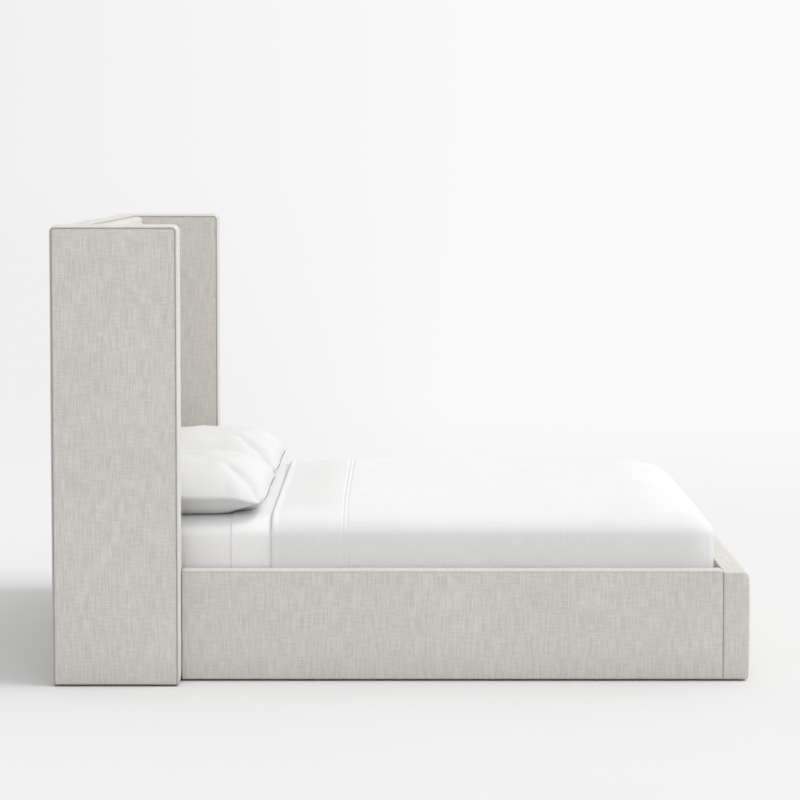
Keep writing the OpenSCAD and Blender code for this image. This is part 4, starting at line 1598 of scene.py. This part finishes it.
@dataclass
class Bedding:
    """Mattress, fitted sheet, flat sheet and duvet."""

    lie: Lie = field(default_factory=lambda: Lie(*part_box("mattress")))
    sheet_t: float = 1.0 * MM
    crown_z: float = 46 * MM
    round_side: float = 300 * MM
    round_foot: float = 250 * MM
    round_drop: float = 102 * MM
    side_loft: float = 4.4 * MM
    seam_in: float = 245 * MM
    seam_gap: float = 14 * MM
    quilt_size: float = 160 * MM
    quilt_depth: float = 3 * MM
    under_r: float = 18 * MM
    cord_r: float = 3.4 * MM
    sheet_pitch: float = 26 * MM
    hem: float = 95 * MM
    duvet_pitch: float = 14 * MM
    plan_power: float = 2.6
    thinnest: float = 7 * MM
    rim_r: float = 9 * MM
    rim_reach: float = 260 * MM
    line_spacing: float = 40 * MM

    def build(self) -> None:
        """Makes the layers from the mattress up."""
        self.mattress()
        self.fitted_sheet()
        self.flat_sheet()
        self.duvet()

    def mattress(self) -> None:
        """Quilted top, upright sides and two corded edges."""
        lie = self.lie
        low, high = lie.low, lie.high
        bm = lie.top(low.x, 0.0, True, 20 * MM)
        for v in (v for v in bm.verts if v.co.z > high.z - 2 * MM):
            quilt = abs(math.sin(math.pi * (v.co.x + v.co.y) / self.quilt_size)
                        * math.sin(math.pi * (v.co.x - v.co.y) / self.quilt_size))
            v.co.z -= self.quilt_depth * (1 - quilt ** 0.5)
        lie.skirt(bm, low.z + self.under_r, 30 * MM, None)
        rim = open_edges(bm)
        middle = Vector(((low.x + high.x) / 2, 0, 0))
        step = math.pi / 8
        for i in range(1, 5):
            turned = math.sin(step * i)
            verts, rim = grow_rim(bm, rim)
            for v in verts:
                inward = (middle - v.co).to_2d().normalized() * self.under_r
                inward *= turned - math.sin(step * (i - 1))
                v.co = (v.co.x + inward.x, v.co.y + inward.y, low.z + self.under_r * (1 - turned))
        bmesh.ops.contextual_create(bm, geom=rim)
        body = new_object("mattress_body", bm, TICKING.made())
        finish_piece(body, "mattress_unit", "mattress_ticking", "mattress")
        outline = self.outline(-2 * MM)
        for name, z in (("mattress_cord_low", low.z + 22 * MM),
                        ("mattress_cord_high", high.z - lie.drop_r - 8 * MM)):
            tube = tube_round([Vector((x, y, z)) for x, y in outline], self.cord_r)
            finish_piece(new_object(name, tube, TICKING.made()), "mattress_unit", "mattress_ticking")

    def outline(self, grow: float) -> list[tuple[float, float]]:
        """The mattress's plan outline, grown by grow.

        Args:
            grow: Distance outside the mattress.

        Returns:
            Its points in order.
        """
        lie = self.lie
        x0, x1, half = lie.low.x - grow, lie.high.x + grow, lie.high.y + grow
        points = []
        for quarter in range(4):
            sx, sy = (1, 1, -1, -1)[quarter], (1, -1, -1, 1)[quarter]
            sweep_up = quarter % 2 == 0
            for i in range(13):
                t = math.radians(90 * (i if not sweep_up else 12 - i) / 12)
                a, b = abs(math.cos(t)) ** (2 / lie.power), abs(math.sin(t)) ** (2 / lie.power)
                x = (x1 - lie.end_r * (1 - a)) if sx > 0 else (x0 + lie.end_r * (1 - a))
                points.append((x, sy * (half - lie.side_r * (1 - b))))
        ring = [points[0]]
        for p in points[1:]:
            gap = math.dist(p, ring[-1])
            if gap < 1 * MM:
                continue
            pieces = max(1, round(gap / (80 * MM)))
            x, y = ring[-1]
            ring += [(x + (p[0] - x) * k / pieces, y + (p[1] - y) * k / pieces)
                     for k in range(1, pieces + 1)]
        return ring

    def fitted_sheet(self) -> None:
        """Stretched over the mattress, gathered a little at its corners and low edge."""
        lie = self.lie
        low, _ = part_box("fitted_sheet")
        grow = 1.3 * MM
        bm = lie.top(lie.low.x - grow, grow, True, self.sheet_pitch)
        lie.skirt(bm, low.z + 2 * MM, self.sheet_pitch, None)
        bm.normal_update()
        for v in bm.verts:
            x, y, z = v.co
            down = smooth((lie.high.z - lie.drop_r - z) / 0.22)
            from_end = min(abs(x - lie.high.x), abs(x - lie.low.x))
            corner = math.exp(-(abs(abs(y) - lie.high.y) + from_end) / 0.09)
            gather = (0.25 * MM * down * ripple(x, y, z * 0.15, 0.03)
                      + 0.35 * MM * corner * ripple(x, y, z * 0.3, 0.02, 4))
            v.co += v.normal * gather
        shell(bm, 0.7 * MM)
        sheet = new_object("fitted_sheet_cloth", bm, SHEET.made())
        finish_piece(sheet, "mattress_unit", "cotton_sheet", "fitted_sheet")

    def flat_sheet(self) -> None:
        """Laid over the fitted sheet, its hem turned up under the pillows and its sides tucked down."""
        lie = self.lie
        low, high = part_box("flat_sheet")
        grow = 2.4 * MM
        extra = [low.x + self.hem + d * MM for d in (-2, 0, 2)]
        bm = lie.top(low.x, grow, False, self.sheet_pitch, extra)
        lie.skirt(bm, low.z, self.sheet_pitch, low.x)
        bm.normal_update()
        for v in bm.verts:
            d = v.co.x - low.x
            past = d - self.hem
            fold = (0.5 * MM * (1 - smooth(past / (3 * MM)))
                    - 0.35 * MM * math.exp(-(past / (1.5 * MM)) ** 2))
            sway = 0.3 * MM * ripple(v.co.x, v.co.y, v.co.z, 0.12, 6)
            v.co += v.normal * (fold + sway * smooth(d / 0.03))
        shell(bm, self.sheet_t * 0.6)
        sheet = new_object("flat_sheet_cloth", bm, SHEET.made())
        finish_piece(sheet, "bed_covers", "cotton_sheet", "flat_sheet")
        threads = bmesh.new()
        row = self.line_over(low.x + self.hem - 1.5 * MM, grow + 0.6 * MM, low.z + 30 * MM)
        stitch_row(threads, row, length=2.6 * MM, thick=0.4 * MM)
        finish_piece(new_object("flat_sheet_stitches", threads, THREAD.made(), weld=False),
                     "bed_covers", "cotton_sheet")

    def line_over(self, x: float, grow: float, low_z: float) -> list[tuple[Vector, Vector]]:
        """Points and outward directions of a line across the bed and down both sides at x.

        Args:
            x: Place along the bed.
            grow: Distance outside the mattress.
            low_z: Where it ends on both sides.

        Returns:
            The points, each with its direction.
        """
        lie = self.lie
        half, top = lie.high.y + grow, lie.high.z + grow
        right = []
        for d in lie.edge_distances(lie.side_r, 14):
            b = 1 - d / lie.side_r
            z = top - lie.drop_r * (1 - math.sqrt(max(0.0, 1 - b * b)))
            slope = Vector((0, b / lie.side_r, math.sqrt(max(0.0, 1 - b * b)) / lie.drop_r)).normalized()
            right.append((Vector((x, half - d, z)), slope))
        steps = 10
        side_top = top - lie.drop_r
        fall = [(Vector((x, half, low_z + (side_top - low_z) * i / steps)), Y_AXIS.copy())
                for i in range(steps)]
        right = fall + right
        left = [(Vector((p.x, -p.y, p.z)), Vector((n.x, -n.y, n.z))) for p, n in reversed(right)]
        reach = half - lie.side_r - 20 * MM
        count = math.floor(reach / self.line_spacing)
        return left + [(Vector((x, y * self.line_spacing, top)), Z_AXIS.copy())
                       for y in range(-count, count + 1)] + right

    def duvet_top(self, place: Vector, normal: Vector, x0: float) -> Vector:
        """The duvet's outer point over a point of its underside.

        Args:
            place: Point on its underside.
            normal: Outward direction there.
            x0: Where its head edge lies.

        Returns:
            The outer point.
        """
        lie = self.lie
        d = place.x - x0
        off_side = max(0.0, 1 - (lie.high.y + self.side_loft - abs(place.y)) / self.round_side)
        off_foot = max(0.0, 1 - (lie.high.x + self.side_loft - place.x) / self.round_foot)
        p = self.plan_power
        q = min(1.0, (off_side ** p + off_foot ** p) ** (1 / p))
        full = self.crown_z + lie.high.z - self.round_drop * (1 - math.sqrt(1 - q * q)) - place.z
        up = smooth((place.z - (lie.high.z - lie.drop_r - 10 * MM)) / (50 * MM))
        spare = full - self.thinnest
        flat = self.thinnest + 0.5 * (spare + math.hypot(spare, 5 * MM))
        ramp = flat
        if flat > self.rim_r:
            ramp = self.rim_r + (flat - self.rim_r) * smooth(d / self.rim_reach)
        edge = math.sqrt(max(0.0, 1 - (1 - min(d / self.rim_r, 1)) ** 2))
        fold = (3.2 * MM * math.exp(-((d - self.rim_r) / (7 * MM)) ** 2)
                - 1.6 * MM * math.exp(-((d - 27 * MM) / (9 * MM)) ** 2))
        seam = 0.0
        for k in (-0.5, 0.5):
            off = d - self.seam_in - k * self.seam_gap
            seam += math.exp(-(off / (1.8 * MM)) ** 2)
            seam += 0.5 * math.exp(-abs(off) / (16 * MM))
        near = math.exp(-abs(abs(d - self.seam_in) - self.seam_gap / 2) / (26 * MM))
        pucker = near * ripple(place.y, place.z, 0.3 * place.x, 0.03, 8)
        sway = 3.0 * ripple(*place, 0.42, 2) + 1.1 * ripple(*place, 0.16, 5)
        soft = MM * (sway + 1.3 * pucker - 1.7 * seam)
        rise = up * max(ramp + fold + soft, 4 * MM) * edge
        out = 0.4 * MM + (self.side_loft + min(MM * 0.6 * sway, 0.0) - MM * 1.1 * min(seam, 1.0)
                          + 0.3 * fold) * edge * (1 - up)
        outwards = Vector((normal.x, normal.y, 0)) * self.side_loft * edge * up
        return place + normal * out + (Z_AXIS * rise + outwards)

    def duvet(self) -> None:
        """Filled cover with a rolled head edge and a double line of stitches across it."""
        lie = self.lie
        low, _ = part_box("duvet")
        grow = 3.0 * MM
        centre = low.x + self.seam_in
        extra = [centre + k * self.seam_gap / 2 + d * MM
                 for k in (-1, 1) for d in (-6, -3, -1.6, 0, 1.6, 3, 6)]
        extra += [centre + d * MM for d in (-16, -24, 0, 16, 24)]
        extra = sorted({round(v, 5) for v in extra})
        bm = lie.top(low.x, grow, False, self.duvet_pitch, extra)
        for v in bm.verts:
            v.co.x += 20 * MM * (1 - smooth((v.co.x - low.x) / 0.2)) * (
                -0.55 * smooth((v.co.y + 0.2) / 0.9) + 0.12 * ripple(v.co.y, 0, 0, 0.5))
        side_y = lie.high.y + grow
        rim = [e for e in open_edges(bm)
               if any(v.co.x >= low.x + 12 * MM for v in e.verts)
               or all(abs(abs(v.co.y) - side_y) < SAME_PLACE for v in e.verts)]
        carry_down(bm, rim, low.z + 2 * MM, self.duvet_pitch, SAME_PLACE)
        thicken(bm, lambda place, normal: self.duvet_top(place, normal, low.x))
        duvet = new_object("duvet_body", bm, DUVET.made())
        finish_piece(duvet, "bed_covers", "cotton_duvet", "duvet")
        threads = bmesh.new()
        for k in (-0.5, 0.5):
            row = self.line_over(centre + k * self.seam_gap, grow, low_z=0.37)
            lifted = [(self.duvet_top(p, n, low.x) + n * 0.1 * MM, n) for p, n in row]
            stitch_row(threads, lifted, length=3.4 * MM)
        finish_piece(new_object("duvet_stitches", threads, THREAD.made(), weld=False),
                     "bed_covers", "cotton_duvet")


@dataclass
class Pillow:
    """A filled pillow in a plain case, flat underneath where it lies."""

    side: Side
    seam_share: float = 0.34
    swell_frames: int = 14
    pressure: float = 3.0
    cap: float = 7 * MM
    slack: float = 0.95
    seam_spread: float = 1.016
    corner_power: float = 7.0
    bow_x: float = 0.030
    bow_y: float = 0.012

    def build(self) -> None:
        """Draws a slack pillow, fills it and lays it in its place."""
        word = self.side.word
        low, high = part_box(f"pillow_{word}")
        middle = Vector(((low.x + high.x) / 2, (low.y + high.y) / 2, low.z))
        bm = self.case((high.x - low.x) / 2, (high.y - low.y) / 2, high.z - low.z)
        bm = self.swollen(bm)
        self.settle(bm, middle, low, high)
        pillow = new_object(f"pillow_body_{word}", bm, PILLOW.made())
        finish_piece(pillow, f"pillow_unit_{word}", "cotton_pillow", f"pillow_{word}")

    def case(self, a: float, b: float, tall: float) -> bmesh.types.BMesh:
        """The pillow before it is filled tight, its sides pulled in between the corners.

        Args:
            a: Half its size along X.
            b: Half its size along Y.
            tall: Its height.

        Returns:
            A closed form round the origin, its seam all round at the same height.
        """
        near = (0, 3 * MM, 8 * MM, 15 * MM, 24 * MM)
        bm, _ = face_grid(edge_lines(-a, a, near, 10 * MM), edge_lines(-b, b, near, 10 * MM))
        map_threads(bm, lambda _, corner: corner.xy)
        seam = tall * self.seam_share
        flat = [(v, v.co.x / a, v.co.y / b) for v in bm.verts]
        copy = bmesh.ops.duplicate(bm, geom=bm.verts[:] + bm.edges[:] + bm.faces[:])
        twins = copy["vert_map"]
        seed = 3.0 + self.side.value
        painted_seam_shade = bm.verts.layers.float["painted_seam_shade"]
        for v, x, y in flat:
            m, p = max(abs(x), abs(y)), self.corner_power
            k = m / (abs(x) ** p + abs(y) ** p) ** (1 / p) if m > 0 else 1.0
            px = x * k * (1 - self.bow_x * (1 - y * y))
            py = y * k * (1 - self.bow_y * (1 - x * x))
            in_x, in_y = max(0.0, 1 - abs(x) ** 3.4), max(0.0, 1 - abs(y) ** 2.6)
            edge = min(a * (1 - abs(x)), b * (1 - abs(y)))
            along = x * a if b * (1 - abs(y)) < a * (1 - abs(x)) else y * b
            pull = math.exp(-edge / 0.06) * smooth(edge / 0.02)
            pull *= ripple(along, edge * 0.2, seed, 0.045, seed)
            sway = smooth(edge / 0.12) * ripple(px, py, 0, 0.32, seed)
            # painted shade along the pillow's seam
            v[painted_seam_shade] = twins[v][painted_seam_shade] = 0.5 * math.exp(-edge / (2.2 * MM))
            v.co = (px * a, py * b,
                    (tall - seam) * in_x ** 0.42 * in_y ** 0.5 * (1 + 0.05 * sway) + 2.6 * MM * pull)
            twins[v].co = (px * a, py * b, -1.5 * seam * in_x ** 0.45 * in_y ** 0.55 - 1.2 * MM * pull)
        bmesh.ops.reverse_faces(bm, faces=[g for g in copy["geom"] if isinstance(g, bmesh.types.BMFace)])
        bmesh.ops.remove_doubles(bm, verts=bm.verts, dist=0.2 * MM)
        return bm

    def swollen(self, bm: bmesh.types.BMesh) -> bmesh.types.BMesh:
        """Runs cloth with air pressure inside the case and keeps a capped result.

        Args:
            bm: The slack pillow, freed here.

        Returns:
            The full pillow.
        """
        mesh = bpy.data.meshes.new("case")
        bmesh.ops.scale(bm, vec=(1, 1, self.slack), verts=bm.verts)
        start = [v.co.copy() for v in bm.verts]
        bm.verts.index_update()
        rim = [v.index for v in bm.verts if abs(v.co.z) < 0.5 * MM]
        bm.to_mesh(mesh)
        bm.free()
        obj = bpy.data.objects.new("case", mesh)
        obj.vertex_groups.new(name="seam").add(rim, 1.0, "REPLACE")
        scene = bpy.context.scene
        scene.collection.objects.link(obj)
        cloth = obj.modifiers.new("fill", "CLOTH")
        settings = cloth.settings
        settings.quality, settings.mass = 5, 0.3
        settings.tension_stiffness = settings.compression_stiffness = 18
        settings.shear_stiffness, settings.bending_stiffness = 6, 0.5
        settings.use_pressure, settings.uniform_pressure_force = True, self.pressure
        settings.air_damping = 2.0
        settings.effector_weights.gravity = 0
        settings.vertex_group_mass, settings.pin_stiffness = "seam", 1.0
        cloth.collision_settings.use_self_collision = False
        cloth.collision_settings.use_collision = False
        cloth.point_cache.frame_start, cloth.point_cache.frame_end = 1, self.swell_frames
        for number in range(1, self.swell_frames + 1):
            scene.frame_set(number)
        full = bpy.data.meshes.new_from_object(obj.evaluated_get(bpy.context.evaluated_depsgraph_get()))
        bpy.data.objects.remove(obj)
        scene.frame_set(1)
        result = bmesh.new()
        result.from_mesh(full)
        bpy.data.meshes.remove(full)
        bpy.data.meshes.remove(mesh)
        far = 0.0
        sewn = set(rim)
        for number, (v, was) in enumerate(zip(result.verts, start)):
            step = v.co - was
            far = max(far, step.length)
            if step.length > self.cap:
                v.co = was + step * (self.cap / step.length)
            if number in sewn:
                v.co.xy *= self.seam_spread
        log.info("pillow filled in %d frames, moved up to %.1f mm", self.swell_frames, far * 1000)
        return result

    def settle(self, bm: bmesh.types.BMesh, middle: Vector, low: Vector, high: Vector) -> None:
        """Moves the filled pillow to its place and lays its underside on the bed.

        Args:
            bm: The pillow round the origin.
            middle: Middle of its place, at its lowest height.
            low: Lowest corner of its place.
            high: Highest corner of its place.
        """
        seam = (high.z - low.z) * self.seam_share
        bmesh.ops.smooth_vert(bm, verts=bm.verts, factor=0.35, use_axis_x=True, use_axis_y=True,
                              use_axis_z=True)
        spans = [(min(v.co[i] for v in bm.verts), max(v.co[i] for v in bm.verts)) for i in range(2)]
        top = max(v.co.z for v in bm.verts)
        for v in bm.verts:
            x, y = ((v.co[i] - spans[i][0]) / (spans[i][1] - spans[i][0]) * (high[i] - low[i]) + low[i]
                    for i in range(2))
            z = seam + (v.co.z * (high.z - low.z - seam) / top if v.co.z > 0 else v.co.z)
            corner = smooth((abs(2 * (x - middle.x) / (high.x - low.x)) - 0.55) / 0.45) * smooth(
                (abs(2 * (y - middle.y) / (high.y - low.y)) - 0.7) / 0.3)
            z -= 0.35 * seam * corner
            lift = 0.3 * MM + 0.5 * MM * abs(ripple(x, y, 0, 0.05, self.side.value))
            v.co = (x, y, low.z + max(z, lift))


# ---------- frame, deck and hardware ----------


@dataclass
class Carcass:
    """Finishes for the timber, foam and hardware that keep their own shapes."""

    timber: tuple[str, ...] = ("headboard_rails", "wing_cross_rails_left", "wing_cross_rails_right",
                               "rail_board_left", "rail_board_right", "rail_ledger_left",
                               "rail_ledger_right", "centre_beam")
    across: tuple[str, ...] = ("footboard_board",)
    upright: tuple[str, ...] = ("headboard_posts", "wing_stiles_left", "wing_stiles_right")
    ply: tuple[str, ...] = ("headboard_board", "wing_skins_left", "wing_skins_right")
    foam: tuple[str, ...] = ("headboard_foam", "wing_foam_left", "wing_foam_right", "rail_foam_left",
                             "rail_foam_right", "footboard_foam")
    steel: tuple[str, ...] = ("wing_bolts", "rail_bolts", "corner_brackets", "bracket_screws",
                              "beam_hangers", "centre_legs", "leveller_stud_head",
                              "leveller_stud_middle", "leveller_stud_foot")
    plastic: tuple[str, ...] = ("leg_plugs", "floor_glides", "leveller_pad_head",
                                "leveller_pad_middle", "leveller_pad_foot")

    def build(self) -> None:
        """Dresses every part that shows its own shape."""
        for names, finish in ((self.timber, SOFTWOOD), (self.across, SOFTWOOD_ACROSS),
                              (self.upright, SOFTWOOD_UPRIGHT), (self.ply, PLY),
                              (self.foam, FOAM), (self.steel, ZINC), (self.plastic, PLASTIC),
                              (("slats",), SLAT), (("slat_straps",), STRAP)):
            for name in names:
                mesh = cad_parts[name].data
                mesh.materials.clear()
                mesh.materials.append(finish.made())
                log.info("%s: %s", name, finish.name)


# ---------- studio ----------


@dataclass
class Studio:
    """Pale floor, soft lights and the camera."""

    eye: tuple[float, float, float] = (-0.0094, -8.655, 1.682)
    lens: float = 108.9
    shift: float = -0.12
    tip: float = math.radians(3.30)
    key_from: tuple[float, float, float] = (0.50, -0.05, 0.90)
    key_strength: float = 1.2
    key_spread: float = math.radians(24)
    fill: float = 1.02
    floor_half: float = 220.0
    floor_cells: int = 40

    def build(self) -> None:
        """Makes the floor, the lights, the room's light and the camera."""
        bm = bmesh.new()
        bmesh.ops.create_grid(bm, x_segments=self.floor_cells, y_segments=self.floor_cells,
                              size=self.floor_half)
        floor = new_object("floor", bm, FLOOR.made(), weld=False)
        self.key()
        self.camera()
        self.world()
        bpy.context.scene.view_settings.view_transform = "Standard"

    def key(self) -> None:
        """A large soft light high over the foot end."""
        data = bpy.data.lights.new("key", "SUN")
        data.energy, data.angle = self.key_strength, self.key_spread
        obj = bpy.data.objects.new("key", data)
        obj.location = Vector(self.key_from) * 8
        obj.rotation_euler = Vector(self.key_from).to_track_quat("Z", "Y").to_euler()
        bpy.context.scene.collection.objects.link(obj)

    def camera(self) -> None:
        """A long lens at standing eye height, square to the bed's side and tipped slightly down."""
        data = bpy.data.cameras.new("camera")
        data.sensor_width, data.lens, data.shift_y = 36, self.lens, self.shift
        data.clip_end = 300
        obj = bpy.data.objects.new("camera", data)
        obj.location = self.eye
        obj.rotation_euler = (math.radians(90) - self.tip, 0, 0)
        bpy.context.scene.collection.objects.link(obj)
        bpy.context.scene.camera = obj

    def world(self) -> None:
        """Light from the whole room, more from the foot end, and a nearly white backdrop."""
        world = bpy.data.worlds.new("room")
        world.use_nodes = True
        world.node_tree.nodes.clear()
        tree = Tree(world.node_tree)
        apart = tree.add("SeparateXYZ", {0: tree.add("TexCoord").outputs["Generated"]})
        along = tree.spread(apart.outputs["X"], -0.9, 0.9, 0.65, 1.35)
        level = tree.maths("MULTIPLY", along, self.fill)
        light = tree.add("Background", {"Color": (1, 1, 1, 1), "Strength": level})
        seen = tree.add("Background", {"Color": (1, 1, 1, 1),
                                       "Strength": room_level(tree, apart.outputs["X"])})
        mix = tree.add("MixShader", {0: tree.add("LightPath").outputs["Is Camera Ray"],
                                     1: light.outputs[0], 2: seen.outputs[0]})
        tree.add("OutputWorld", {"Surface": mix.outputs[0]})
        bpy.context.scene.world = world


def main() -> None:
    """Builds the bed from the frame outwards, then the room."""
    logging.basicConfig(level=logging.INFO, format="%(name)s: %(message)s")
    Carcass().build()
    for side in Side:
        Pillow(side).build()
    Headboard().build()
    for side in Side:
        Wing(side).build()
        SideRail(side).build()
    Footboard().build()
    Bedding().build()
    Studio().build()


if __name__ == "__main__":
    main()
